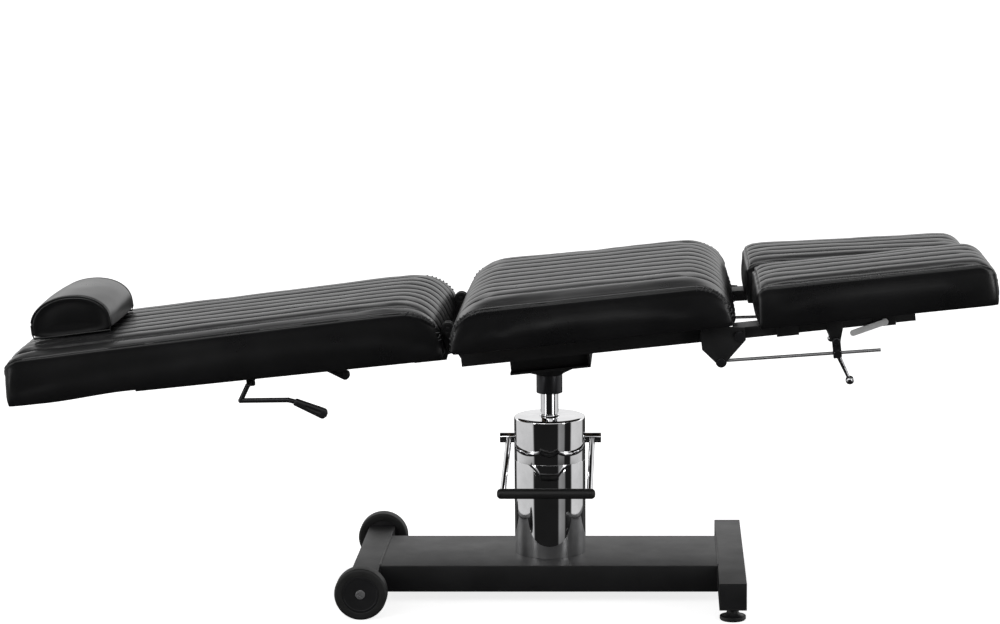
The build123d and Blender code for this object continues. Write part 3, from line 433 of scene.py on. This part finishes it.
def places_across(spec):
    """Places across the width: one border, each channel's own steps and the other border."""
    y0, y1, border = spec["y0"], spec["y1"], spec["border"]
    edge = [0.0, 0.9, 2.2, 4.5]
    steps = max(4, int(border / 7))
    edge += [4.5 + (border - 4.5) * k / steps for k in range(1, steps)]
    edge = [y0 + a for a in edge]
    middle = [y0 + border + spec["pitch"] * (k + s) for k in range(spec["channels"]) for s in groove_steps]
    return edge + middle + [y1 - border] + [y0 + y1 - a for a in reversed(edge)]


def cushion_lattice(spec):
    """A closed padded form in the tilted frame: rings along u, channels across, and a base.

    It returns the points, the fact of each point and the faces."""
    u0, y0, y1 = spec["u0"], spec["y0"], spec["y1"]
    bottom, crown, border, channels = spec["bottom"], spec["crown"], spec["border"], spec["channels"]
    tall = spec["seam"] - bottom
    stations, across = stations_along(spec), places_across(spec)
    ni, nj, nk = len(stations) - 1, len(across) - 1, len(side_levels) - 1

    def point(i, j, k):
        u, fall, corner, _, run = stations[i]
        y, level = across[j], side_levels[k]
        share = (2 * y - y0 - y1) / (y1 - y0)
        thinner = spec["taper"] * max(0.0, (spec["taper_start"] - u) / (spec["taper_start"] - u0))
        left = (1 - fall / tall) * (tall - thinner)
        top = bottom + left + crown * (1 - abs(share) ** spec["power"]) * left / tall
        w = bottom + (top - bottom) * level
        # The sides draw in along the run, swell in the middle of their height and tuck under
        drawn = spec["corner"] * corner ** 1.5 + side_draw * 4 * run * (1 - run) * (0.35 + 0.65 * level)
        swell = side_swell * sin(pi * min(1.0, level * 0.96 + 0.04))
        swell -= side_tuck * max(0.0, 1 - level / 0.14) ** 2
        half = (y1 - y0) / 2 - drawn
        if j in (0, nj) or k < nk:
            half += swell * abs(share) ** 6
        y = (y0 + y1) / 2 + share * half
        # The ends swell and tuck under too, less and less over the next few rings
        from_end = min(i, ni - i)
        if from_end < end_rings:
            near = (1 - from_end / end_rings) ** 2
            out = end_swell * sin(pi * level) * (1 - share ** 6) if from_end == 0 else 0.0
            out -= spec["tuck"] * near * max(0.0, 1 - level / 0.28) ** 2
            out -= corner_draw * near * abs(share) ** 10
            u += -out if i < end_rings else out
        return u, y, w

    def fact(i, j, k):
        y = across[j]
        inner = (y - y0 - border) / spec["pitch"]
        on_channels = -0.4 < inner < channels + 0.4
        groove = abs(inner - round(inner)) * spec["pitch"] if on_channels else spec["pitch"]
        face = (k == nk or i in (0, ni)) and 0 < j < nj
        from_seam = min(y - y0, y1 - y) if face else (1 - side_levels[k]) * tall
        return Fact(face, groove, from_seam, side_levels[k], stations[i][3], stations[i][0],
                    k == 0, i in (0, ni))

    index, points, facts, faces = {}, [], [], []

    def quad(*corners):
        for corner in corners:
            if corner not in index:
                index[corner] = len(points)
                points.append(point(*corner))
                facts.append(fact(*corner))
        faces.append(tuple(index[corner] for corner in corners))

    for i in range(ni):
        for j in range(nj):
            quad((i, j, nk), (i + 1, j, nk), (i + 1, j + 1, nk), (i, j + 1, nk))
            quad((i, j, 0), (i, j + 1, 0), (i + 1, j + 1, 0), (i + 1, j, 0))
        for k in range(nk):
            quad((i, 0, k), (i + 1, 0, k), (i + 1, 0, k + 1), (i, 0, k + 1))
            quad((i, nj, k), (i, nj, k + 1), (i + 1, nj, k + 1), (i + 1, nj, k))
    for j in range(nj):
        for k in range(nk):
            quad((0, j, k), (0, j, k + 1), (0, j + 1, k + 1), (0, j + 1, k))
            quad((ni, j, k), (ni, j + 1, k), (ni, j + 1, k + 1), (ni, j, k + 1))
    return np.array(points), facts, faces


def vertex_normals(points, faces):
    """The normal at each point, as the mean of its faces' normals."""
    quads = np.array(faces)
    a, b, c, d = (points[quads[:, k]] for k in range(4))
    face_normals = np.cross(c - a, d - b)
    normals = np.zeros_like(points)
    for k in range(4):
        np.add.at(normals, quads[:, k], face_normals)
    lengths = np.linalg.norm(normals, axis=1, keepdims=True)
    return normals / np.maximum(lengths, 1e-12)


def coordinates(mesh):
    """The mesh's points in millimetres."""
    flat = np.empty(len(mesh.vertices) * 3)
    mesh.vertices.foreach_get("co", flat)
    return flat.reshape(-1, 3) * 1000


def swelling(points, faces, voxel=7.5, held_height=9, frames=20):
    """How far a cloth shell of this form moves under pressure, by a simulation on a coarse copy.

    The copy is voxel remeshed, held at its base and filled like a pad. Its movement is capped and
    given back to the fine form's own points, as a mean over the nearest ones."""
    pad = bpy.data.objects.new("pad", mesh_from("pad", points / 1000, faces))
    scene.collection.objects.link(pad)
    remesh = pad.modifiers.new("remesh", "REMESH")
    remesh.mode = "VOXEL"
    remesh.voxel_size = voxel / 1000
    remesh.adaptivity = 0.0
    depsgraph = bpy.context.evaluated_depsgraph_get()
    coarse = bpy.data.meshes.new_from_object(pad.evaluated_get(depsgraph))
    pad.modifiers.clear()
    pad.data = coarse
    rest = coordinates(coarse)
    held = pad.vertex_groups.new(name="held")
    lowest = rest[:, 2].min()
    held.add([int(k) for k in np.nonzero(rest[:, 2] < lowest + held_height)[0]], 1.0, "REPLACE")
    cloth = pad.modifiers.new("cloth", "CLOTH")
    cloth.settings.vertex_group_mass = "held"
    cloth.settings.quality = 3
    cloth.settings.mass = 0.4
    cloth.settings.tension_stiffness = 22
    cloth.settings.compression_stiffness = 22
    cloth.settings.shear_stiffness = 12
    cloth.settings.bending_stiffness = 1.5
    cloth.settings.use_pressure = True
    cloth.settings.uniform_pressure_force = 4
    cloth.settings.effector_weights.gravity = 0
    cloth.collision_settings.use_collision = False
    cloth.collision_settings.use_self_collision = False
    cloth.point_cache.frame_start = 1
    cloth.point_cache.frame_end = frames
    for frame_number in range(1, frames + 1):
        scene.frame_set(frame_number)
    depsgraph = bpy.context.evaluated_depsgraph_get()
    moved = coordinates(pad.evaluated_get(depsgraph).to_mesh()) - rest
    scene.frame_set(1)
    bpy.data.objects.remove(pad, do_unlink=True)
    length = np.linalg.norm(moved, axis=1, keepdims=True)
    moved *= np.minimum(1.0, swell_cap / np.maximum(length, 1e-9))
    tree = KDTree(len(rest))
    for k, p in enumerate(rest):
        tree.insert(p, k)
    tree.balance()
    out = np.zeros_like(points)
    for k, p in enumerate(points):
        near = tree.find_n(p, 10)
        weights = np.array([1 / (1.0 + d * d) for _, _, d in near])
        out[k] = (moved[[n[1] for n in near]] * weights[:, None]).sum(axis=0) / weights.sum()
    return out


def bump(distance, centre, width):
    """A smooth bump of height 1 at the centre."""
    return exp(-((distance - centre) / width) ** 2)


def relief(spec, fact, place):
    """How far a point of the cover stands out, in millimetres: rolls, grooves, seams and puckers."""
    x, y, z = place
    slow = noise.noise(Vector((x / 70, y / 70, z / 70 + spec["seed"])))
    out = 0.9 * slow
    if fact.face:
        # Each ridge is a soft roll between two sewn grooves, with a sharp stitched bottom
        fade = min(1.0, fact.level * 2.2) if fact.end else 1.0
        if spec["panel"] and fact.u < spec["u0"] + spec["panel"]:
            # The channels stop at a cross seam, and a plain panel closes the knee end
            fade *= min(1.0, max(0.0, (fact.around - 0.35) / 0.3))
            out -= 1.5 * bump(fact.around, 0.42, 0.07)
            out += 0.8 * bump(fact.around, 0.62, 0.09)
        out += fade * (4.3 * (min(1.0, fact.groove / (0.5 * spec["pitch"])) ** 0.5) - 3.4)
        out -= 1.0 * bump(fact.groove, 0.0, 2.0) * fade
        # The cover gathers a little across each groove
        out += 0.28 * exp(-fact.groove / 7) * sin(fact.u * 2 * pi / 11 + 3 * slow) * fade
    # The seam between the top and the side: a narrow valley beside a small roll
    out -= 1.3 * bump(fact.from_seam, 0.0, 1.1)
    out += 0.8 * bump(fact.from_seam, 4.0, 2.6)
    # Scalloped puckers round the two end curves
    bend = min(1.0, max(0.0, 1 - fact.around) * 2.4) * (0.6 if fact.end else 1)
    if bend > 0 and fact.from_seam < 42:
        crease = abs(sin(pi * (fact.u + z) / 14.0 + 2.2 * slow))
        out += bend * 2.4 * (crease - 0.62) * exp(-fact.from_seam / 17) * (0.75 + 0.5 * slow)
    return out


def make_cushion(name, node, spec):
    """The upholstered cushion in place of a plain CAD one."""
    points, facts, faces = cushion_lattice(spec)
    base = np.array([fact.base for fact in facts])
    keep = np.where(base, 0.0, np.minimum(1.0, [fact.level * 3.0 for fact in facts]))
    points = points + swelling(points, faces) * keep[:, None] * spec["softness"]
    push = [0.0 if fact.base else relief(spec, fact, place) for fact, place in zip(facts, points)]
    points = points + vertex_normals(points, faces) * np.array(push)[:, None]
    points[:, 2] = np.maximum(np.where(base, spec["bottom"], points[:, 2]), spec["bottom"])
    if spec["sag"]:
        # Past the end of its rails the soft underside hangs a little lower
        start, amount, reach = spec["sag"]
        share = np.clip((start - points[:, 0]) / reach, 0, 1)
        share = share * share * (3 - 2 * share)
        height = np.clip((points[:, 2] - spec["bottom"]) / (spec["seam"] - spec["bottom"]), 0, 1)
        points[:, 2] -= amount * share * (1 - height) ** 1.5
    rows = []
    for u, y, w in points:
        u, w = on_leg(u, w, spec)
        rows.append(seat_point(u, y, w))
    obj = add(name, mesh_from(name, rows, faces), vinyl, body_of_node[node], smooth=75)
    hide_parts(node)


def cushion_spec(u, y, ends, border, channels, **more):
    """A cushion's sizes in the tilted frame, each end as the (run, fall) of its curve."""
    spec = dict(u0=u[0], u1=u[1], y0=y[0], y1=y[1], ends=ends, border=border, channels=channels,
                corner=14, pitch=(y[1] - y[0] - 2 * border) / channels, softness=0.42, fill=0.85,
                taper=0.0, taper_start=0.0, turn=0.0, slide=0.0, tuck=7.0, power=8.0, panel=0, sag=None)
    spec.update(more)
    return spec


knee_end, head_end, leg_knee_end, toe_end = (70, 66), (34, 34), (24, 24), (40, 37)
leg_inner_y, leg_outer_y = 18, 290
leg = dict(u=(388, 821), bottom=24, seam=99, crown=8, border=16, channels=5,
           ends=(leg_knee_end, toe_end), power=3.2, softness=0.28, panel=40)
cushions = {
    "seat_pad": ("seat_cushion", cushion_spec(
        u=(-164, 349), y=(-290, 290), bottom=35, seam=112, crown=13, border=66, channels=9,
        ends=(knee_end, knee_end), seed=3)),
    "back_pad": ("back_cushion", cushion_spec(
        u=(-978, -177), y=(-222, 222), bottom=20, seam=110, crown=12, border=36, channels=8,
        ends=(head_end, knee_end), seed=8, sag=(-756, 7, 150), taper=12.0, taper_start=-300.0,
        power=6.0)),
    "leg_pad_near": ("leg_cushion_near", cushion_spec(y=(-leg_outer_y, -leg_inner_y), seed=14, **leg)),
    "leg_pad_far": ("leg_cushion_far", cushion_spec(
        y=(leg_inner_y, leg_outer_y), seed=21, turn=far_leg_turn, slide=far_pad_slide, **leg)),
}
for name, (node, spec) in cushions.items():
    make_cushion(name, node, spec)


def bolster():
    """The head bolster: a flat base, a high rounded top, and sewn ends with piping."""
    centre_u, base, radius = -864, 115.4, 75
    height, side, roundness = 74.0, 20.0, 0.86
    half_length = 113.0
    taper_fall, taper_run = 12.0, 678.0
    lean = atan2(taper_fall, taper_run)
    body = body_of_node["headrest_bolster"]

    def place(u, y, w):
        du, dw = u - centre_u, w - base
        return seat_point(centre_u + du * cos(lean) - dw * sin(lean), y,
                          base + du * sin(lean) + dw * cos(lean))

    low, high = centre_u - radius, centre_u + radius
    outline = [(high - 2, base + 1.5), (high, base + side * 0.5)]
    arc = 34
    for k in range(arc + 1):
        a = pi * k / arc
        outline.append((centre_u + radius * cos(a), base + side + (height - side) * sin(a) ** roundness))
    outline += [(low, base + side * 0.5), (low + 2, base + 1.5)]
    count = len(outline)
    half = [(0.0, -1.9), (0.3, -1.6), (0.6, -1.0), (0.85, 0), (0.92, 0.3), (0.955, 1.2), (0.985, 3.4),
            (1.0, 7.0)]
    stations = [(-s, shrink) for s, shrink in reversed(half)] + half[1:]
    verts, faces = [], []
    for s, shrink in stations:
        scale = 1 - shrink / radius
        for u, w in outline:
            du, dw = u - centre_u, w - base
            wave = 0.8 * noise.noise(Vector((u / 30, s * 3, w / 30)))
            verts.append(place(centre_u + du * scale + wave, s * half_length,
                               base + max(0.3, dw * scale + wave * (dw > 4))))
    for i in range(len(stations) - 1):
        for k in range(count):
            m = (k + 1) % count
            faces.append((i * count + k, (i + 1) * count + k, (i + 1) * count + m, i * count + m))
    # Each end is closed by smaller rings about a point above the base
    middle, flatter, deepest = 34, 0.93, 5.4
    for ring, y in ((0, -1), (len(stations) - 1, 1)):
        previous = list(range(ring * count, (ring + 1) * count))
        for scale, out in ((0.8, 2.6), (0.5, 4.6), (0.2, deepest)):
            current = list(range(len(verts), len(verts) + count))
            for u, w in outline:
                verts.append(place(centre_u + (u - centre_u) * scale * flatter,
                                   y * (half_length + out - deepest),
                                   base + middle + (w - base - middle) * scale * flatter))
            for k in range(count):
                m = (k + 1) % count
                faces.append((previous[k], previous[m], current[m], current[k]))
            previous = current
        faces.append(tuple(previous))
    cage = bpy.data.objects.new("bolster_cage", mesh_from("bolster_pad", verts, faces))
    scene.collection.objects.link(cage)
    cage.modifiers.new("fill", "SUBSURF").levels = 2
    depsgraph = bpy.context.evaluated_depsgraph_get()
    done = bpy.data.meshes.new_from_object(cage.evaluated_get(depsgraph))
    bpy.data.objects.remove(cage, do_unlink=True)
    obj = add("bolster_pad", done, vinyl, body, smooth=60)
    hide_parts("headrest_bolster")
    scale = 1 - 2.4 / radius
    for label, s in (("near", -1), ("far", 1)):
        ring = [place(centre_u + (u - centre_u) * scale, s * half_length * 0.985,
                      base + max(1.6, (w - base) * scale)) for u, w in outline]
        name = "bolster_piping_" + label
        add(name, tube(name, ring, 0.0019, 10, closed=True), vinyl, body, smooth=60)


bolster()

# The release bar's paddles: where their middle line starts and ends, and how far out they are
paddle_start, paddle_end, paddle_y = Vector((-462, 0, -36)), Vector((-406, 0, -67)), 190
paddle_along = (paddle_end - paddle_start).normalized()
paddle_up = Vector((-paddle_along.z, 0, paddle_along.x))
paddle_length = (paddle_end - paddle_start).length


def rounded(value, reach, power=0.72):
    """One coordinate of a flattened ring, from the sine or cosine of its angle."""
    return abs(value) ** power * (1 if value > 0 else -1) * reach


def paddle(y):
    """A moulded paddle that widens towards its rounded tip."""
    verts, faces = [], []
    rings, sides, tip = 22, 28, 0.86
    for i in range(rings + 1):
        t = i / rings
        tall, thick = (6.6 + 4.2 * t, 6.6 - 0.6 * t) if i else (5.6, 5.6)
        if t > tip:
            cap = (t - tip) / (1 - tip)
            tall *= max(0.08, 1 - cap ** 2.2) ** 0.5
            thick *= max(0.08, 1 - cap ** 3.5) ** 0.5
        centre = paddle_start + paddle_along * (paddle_length * t)
        for k in range(sides):
            a = 2 * pi * k / sides
            p = centre + paddle_up * rounded(cos(a), tall)
            verts.append(seat_point(p.x, y + rounded(sin(a), thick), p.z))
    for i in range(rings):
        for k in range(sides):
            m = (k + 1) % sides
            faces.append((i * sides + k, i * sides + m, (i + 1) * sides + m, (i + 1) * sides + k))
    faces.append(tuple(reversed(range(sides))))
    faces.append(tuple(range(rings * sides, (rings + 1) * sides)))
    return mesh_from("grip", verts, faces)


def recess(y, outward):
    """The tool that cuts a long round-ended recess in one face of a paddle."""
    verts, faces = [], []
    sides, half_run, radius = 24, 12.0, 3.6
    for depth, size in ((3.4, 0.55), (4.2, 0.85), (9.0, 1.25)):
        for k in range(sides):
            a = 2 * pi * k / sides
            run = half_run if cos(a) > 0 else -half_run
            p = paddle_start + paddle_along * (paddle_length * 0.58 + run + radius * size * cos(a))
            p += paddle_up * (radius * size * sin(a))
            verts.append(seat_point(p.x, y + outward * depth, p.z))
    for ring in range(2):
        for k in range(sides):
            m = (k + 1) % sides
            faces.append((ring * sides + k, ring * sides + m, ring * sides + sides + m,
                          ring * sides + sides + k))
    faces.append(tuple(range(sides)))
    faces.append(tuple(range(2 * sides, 3 * sides)))
    return mesh_from("cut", verts, faces)


def grips():
    """The two paddles on the release bar, each with a recess in both faces."""
    meshes = []
    for y in (-paddle_y, paddle_y):
        grip = bpy.data.objects.new("grip", paddle(y))
        scene.collection.objects.link(grip)
        cutters = [bpy.data.objects.new("cut", recess(y, outward)) for outward in (-1, 1)]
        for cutter in cutters:
            scene.collection.objects.link(cutter)
            cut = grip.modifiers.new("cut", "BOOLEAN")
            cut.solver = "EXACT"
            cut.object = cutter
        bevel = grip.modifiers.new("edge", "BEVEL")
        bevel.width = 0.0005
        bevel.segments = 2
        bevel.limit_method = "ANGLE"
        bevel.angle_limit = radians(38)
        bpy.context.view_layer.update()
        depsgraph = bpy.context.evaluated_depsgraph_get()
        meshes.append(bpy.data.meshes.new_from_object(grip.evaluated_get(depsgraph)))
        for o in cutters + [grip]:
            bpy.data.objects.remove(o, do_unlink=True)
    obj = add("release_paddles", join_meshes("release_paddles", meshes), plastic,
              body_of_node["release_grips"], smooth=38)
    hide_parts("release_grips")


grips()


def weld(start, end, size):
    """A weld bead: overlapping ripples along a joint."""
    start, end = Vector(start), Vector(end)
    count = max(6, int((end - start).length / 0.0016))
    points, radii = [], []
    for i in range(count + 1):
        points.append(start.lerp(end, i / count))
        ripple = 0.5 + 0.5 * sin(i * 2 * pi / 3.2)
        radii.append(size * (0.86 + 0.2 * ripple) * min(1.0, 0.35 + min(i, count - i) * 0.3))
    return tube("bead", points, size, 8, radii=radii)


def base_welds():
    """Beads along the top and the two sides of the beam, at both cross tubes."""
    low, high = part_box("base_beam")
    clear, size = 0.004, 0.0019
    meshes = []
    for x in (low[0], high[0]):
        meshes.append(weld((x, low[1] + clear, high[2]), (x, high[1] - clear, high[2]), size))
        for y in (low[1], high[1]):
            meshes.append(weld((x, y, low[2] + clear), (x, y, high[2] - clear), size))
    add("base_welds", join_meshes("base_welds", meshes), powder, "base", smooth=60)


base_welds()

# Stitches in the grooves, by Geometry Nodes


def stitch_group():
    """Instances of a short thread along each curve, turned with it, as one real mesh."""
    tree = bpy.data.node_groups.new("stitches", "GeometryNodeTree")
    tree.interface.new_socket(name="Geometry", in_out="INPUT", socket_type="NodeSocketGeometry")
    tree.interface.new_socket(name="Geometry", in_out="OUTPUT", socket_type="NodeSocketGeometry")
    for label, value in (("Spacing", 0.0052), ("Radius", 0.0005), ("Stretch", 3.6)):
        sock = tree.interface.new_socket(name=label, in_out="INPUT", socket_type="NodeSocketFloat")
        sock.default_value = value
    tree.is_modifier = True
    link = tree.links.new
    gin, gout = tree.nodes.new("NodeGroupInput"), tree.nodes.new("NodeGroupOutput")
    points = tree.nodes.new("GeometryNodeCurveToPoints")
    points.mode = "LENGTH"
    link(gin.outputs["Spacing"], points.inputs["Length"])
    pill = tree.nodes.new("GeometryNodeMeshUVSphere")
    pill.inputs["Segments"].default_value = 6
    pill.inputs["Rings"].default_value = 5
    link(gin.outputs["Radius"], pill.inputs["Radius"])
    shape = tree.nodes.new("GeometryNodeTransform")
    scale = tree.nodes.new("ShaderNodeCombineXYZ")
    scale.inputs[0].default_value = scale.inputs[1].default_value = 1.0
    link(gin.outputs["Stretch"], scale.inputs[2])
    link(scale.outputs[0], shape.inputs["Scale"])
    put = tree.nodes.new("GeometryNodeInstanceOnPoints")
    real = tree.nodes.new("GeometryNodeRealizeInstances")
    paint = tree.nodes.new("GeometryNodeSetMaterial")
    paint.inputs["Material"].default_value = thread
    link(gin.outputs[0], points.inputs["Curve"])
    link(points.outputs["Points"], put.inputs["Points"])
    link(points.outputs["Rotation"], put.inputs["Rotation"])
    link(pill.outputs["Mesh"], shape.inputs["Geometry"])
    link(shape.outputs["Geometry"], put.inputs["Instance"])
    link(put.outputs["Instances"], real.inputs["Geometry"])
    link(real.outputs["Geometry"], paint.inputs["Geometry"])
    link(paint.outputs["Geometry"], gout.inputs[0])
    return tree


stitching = stitch_group()


def stitches(name, spec, pad_name, body):
    """Rows of stitches in every groove, found on the finished pad's own surface."""
    pad = bpy.data.objects[pad_name]
    lean = radians(spec["turn"]) - tilt
    up = Vector((sin(lean), 0, cos(lean)))
    data = bpy.data.curves.new(name, "CURVE")
    data.dimensions = "3D"
    clear, above, step, proud = 20, 60, 9, 0.0001
    start, end = spec["u0"] + clear, spec["u1"] - clear
    for k in range(spec["channels"] + 1):
        y = spec["y0"] + spec["border"] + spec["pitch"] * k
        row = []
        for u in spread_evenly(start, end, int((end - start) / step)):
            u, w = on_leg(u, spec["seam"] + above, spec)
            hit, place, normal, _ = pad.ray_cast(seat_point(u, y, w), -up)
            if hit:
                row.append(place + normal * proud)
        if len(row) < 4:
            continue
        spline = data.splines.new("POLY")
        spline.points.add(len(row) - 1)
        for point, place in zip(spline.points, row):
            point.co = (*place, 1)
    obj = bpy.data.objects.new(name, data)
    scene.collection.objects.link(obj)
    obj.modifiers.new("stitches", "NODES").node_group = stitching
    bpy.context.view_layer.update()
    depsgraph = bpy.context.evaluated_depsgraph_get()
    mesh = bpy.data.meshes.new_from_object(obj.evaluated_get(depsgraph))
    bpy.data.objects.remove(obj, do_unlink=True)
    add(name, mesh, thread, body, smooth=80)


for name, (node, spec) in cushions.items():
    stitches(name.replace("pad", "stitches"), spec, name, body_of_node[node])


def lace(start, start_normal, end, end_normal):
    """One heavy thread from the side to the top, arched over the seam."""
    sunk, shoulder, arch, radius = 0.0004, 0.0009, 0.0022, 0.0013
    middle = (start + end) / 2 + (start_normal + end_normal).normalized() * arch
    return tube("lace", [start - start_normal * sunk, start.lerp(middle, 0.5) + start_normal * shoulder,
                         middle, end.lerp(middle, 0.5) + end_normal * shoulder,
                         end - end_normal * sunk], radius, 6)


def lacing(name, spec, pad_name, body, ends):
    """Heavy threads that cross the seam round each end curve, laid on the finished pad."""
    surface = bpy.data.objects[pad_name].data.vertices
    nearest = KDTree(len(surface))
    for k, v in enumerate(surface):
        nearest.insert(v.co, k)
    nearest.balance()
    first_angle, span, last, inwards = 8, 74, 10, 0.6
    side_reach, top_reach, shortest = 8.5, 7.5, 0.003
    meshes = []
    for end in ends:
        run, fall = spec["ends"][end]
        sign, tip, thinner = ((1, spec["u0"], spec["taper"]), (-1, spec["u1"], 0.0))[end]
        for side, y in ((-1, spec["y0"]), (1, spec["y1"])):
            for k in range(last + 1):
                a = radians(first_angle + span * k / last)
                u = tip + sign * run * (1 - cos(a))
                w = spec["seam"] - thinner - fall * (1 - sin(a))
                aims = (seat_point(u + sign * cos(a) * inwards * side_reach, y - side,
                                   w - sin(a) * inwards * side_reach),
                        seat_point(u, y - side * (top_reach + 1), w))
                (p, i, _), (q, j, _) = (nearest.find(aim) for aim in aims)
                if (q - p).length >= shortest:
                    meshes.append(lace(p, surface[i].normal, q, surface[j].normal))
    add(name, join_meshes(name, meshes), thread, body, smooth=70)


for name, ends in (("seat_pad", (0, 1)), ("back_pad", (1,))):
    node, spec = cushions[name]
    lacing(name.replace("pad", "lacing"), spec, name, body_of_node[node], ends)

# Light
scene.view_settings.view_transform = "Standard"
scene.view_settings.look = "None"


def smooth_range(tree, value, low, high, to_low=0.0, to_high=1.0):
    """A soft step from one level to another as the value goes from low to high."""
    n = tree.nodes.new("ShaderNodeMapRange")
    n.interpolation_type = "SMOOTHSTEP"
    tree.links.new(value, n.inputs["Value"])
    for label, number in (("From Min", low), ("From Max", high), ("To Min", to_low), ("To Max", to_high)):
        n.inputs[label].default_value = number
    return n.outputs[0]


def ramp_of(tree, value, stops):
    """A grey ramp through (place, level) stops, which start at 0 and end at 1."""
    n = tree.nodes.new("ShaderNodeValToRGB")
    ramp = n.color_ramp
    ramp.interpolation = "EASE"
    for place, _ in stops[1:-1]:
        ramp.elements.new(place)
    for element, (_, level) in zip(ramp.elements, stops):
        element.color = (level, level, level, 1)
    tree.links.new(value, n.inputs[0])
    return n.outputs[0]


def studio_world():
    """White for the camera. For everything else a bright wall stands low behind the object, dark flats
    with pale strips stand round it, and a soft band is in front of it."""
    world = bpy.data.worlds.new("studio")
    world.use_nodes = True
    tree = world.node_tree
    tree.nodes.clear()
    coord = tree.nodes.new("ShaderNodeTexCoord")
    split = tree.nodes.new("ShaderNodeSeparateXYZ")
    tree.links.new(coord.outputs["Generated"], split.inputs[0])
    east, north, height = (split.outputs[axis] for axis in "XYZ")

    def times(a, b):
        return math_node(tree, "MULTIPLY", a, b)

    def plus(a, b):
        return math_node(tree, "ADD", a, b)

    wall_level, zenith_level, band_level, base_level = 0.84, 0.55, 0.9, 0.011
    strip, strip_edge, narrow, narrow_edge, dim, dark_level = 0.62, 0.55, 0.24, 0.20, 0.03, 0.0
    wall = times(times(smooth_range(tree, north, 0.05, 0.5), smooth_range(tree, height, -0.05, 0.03)),
                 smooth_range(tree, height, 0.35, 0.72, 1.0, 0.12))
    # The share of a full turn, which is 0.5 straight in front of the object
    turned = plus(times(math_node(tree, "ARCTAN2", east, times(north, -1.0)), 0.5 / pi), 0.5)
    flats = ramp_of(tree, turned, (
        (0.0, 0.02), (0.115, dim), (0.135, strip), (0.345, strip_edge), (0.362, dark_level),
        (0.575, dark_level), (0.59, narrow), (0.635, narrow_edge), (0.65, dark_level),
        (0.70, dark_level), (0.718, strip), (0.865, strip_edge), (0.885, dim), (1.0, 0.02)))
    flats = times(flats, times(smooth_range(tree, height, -0.55, -0.30),
                               smooth_range(tree, height, 0.30, 0.60, 1.0, 0.0)))
    zenith = smooth_range(tree, height, 0.80, 0.97)
    band = times(smooth_range(tree, height, 0.26, 0.42), smooth_range(tree, height, 0.60, 0.80, 1.0, 0.0))
    front = times(smooth_range(tree, north, -0.1, -0.4), band)
    studio = plus(plus(times(wall, wall_level), times(zenith, zenith_level)), times(front, band_level))
    studio = plus(plus(studio, flats), base_level)
    light, white = (tree.nodes.new("ShaderNodeBackground") for _ in range(2))
    for background in (light, white):
        background.inputs["Color"].default_value = (1, 1, 1, 1)
    tree.links.new(studio, light.inputs["Strength"])
    path = tree.nodes.new("ShaderNodeLightPath")
    choose = tree.nodes.new("ShaderNodeMixShader")
    out = tree.nodes.new("ShaderNodeOutputWorld")
    tree.links.new(path.outputs["Is Camera Ray"], choose.inputs[0])
    tree.links.new(light.outputs[0], choose.inputs[1])
    tree.links.new(white.outputs[0], choose.inputs[2])
    tree.links.new(choose.outputs[0], out.inputs[0])
    return world


scene.world = studio_world()


def lamp(name, place, aim, width, height, power):
    """A soft box that faces its aim."""
    data = bpy.data.lights.new(name, "AREA")
    data.shape = "RECTANGLE"
    data.size, data.size_y = width, height
    data.energy = power
    obj = bpy.data.objects.new(name, data)
    scene.collection.objects.link(obj)
    obj.location = place
    obj.rotation_euler = (Vector(aim) - Vector(place)).to_track_quat("-Z", "Y").to_euler()


lamp("overhead", (0.2, 0.2, 3.2), (0.2, 0, 0.5), 3.0, 1.2, 22)
lamp("front", (-1.6, -3.6, 3.0), (0.1, 0, 0.4), 1.6, 1.0, 14)
lamp("side_right", (2.7, -2.3, 0.95), (0.75, 0, 0.55), 0.45, 1.5, 9)
lamp("side_left", (-2.7, -2.5, 0.95), (-0.75, 0, 0.45), 0.45, 1.5, 8)

# Floor


def floor_material():
    """A pale floor that renders white and keeps the object's shadow."""
    camera_glow = 0.80
    m = bpy.data.materials.new("floor")
    m.use_nodes = True
    tree = m.node_tree
    shader = tree.nodes["Principled BSDF"]
    shader.inputs["Base Color"].default_value = (0.86, 0.86, 0.86, 1)
    shader.inputs["Roughness"].default_value = 0.9
    shader.inputs["Emission Color"].default_value = (1, 1, 1, 1)
    path = tree.nodes.new("ShaderNodeLightPath")
    seen = math_node(tree, "MULTIPLY", path.outputs["Is Camera Ray"], camera_glow)
    tree.links.new(seen, shader.inputs["Emission Strength"])
    return m


floor_reach, floor_height = 60.0, -0.0002
floor_mesh = bpy.data.meshes.new("floor")
floor_mesh.from_pydata([(x * floor_reach, y * floor_reach, floor_height)
                        for x, y in ((-1, -1), (1, -1), (1, 1), (-1, 1))], [], [(0, 1, 2, 3)])
floor_mesh.materials.append(floor_material())
floor = bpy.data.objects.new("floor", floor_mesh)
scene.collection.objects.link(floor)
# The metal reflects the studio's flats and not the floor
floor.visible_glossy = False
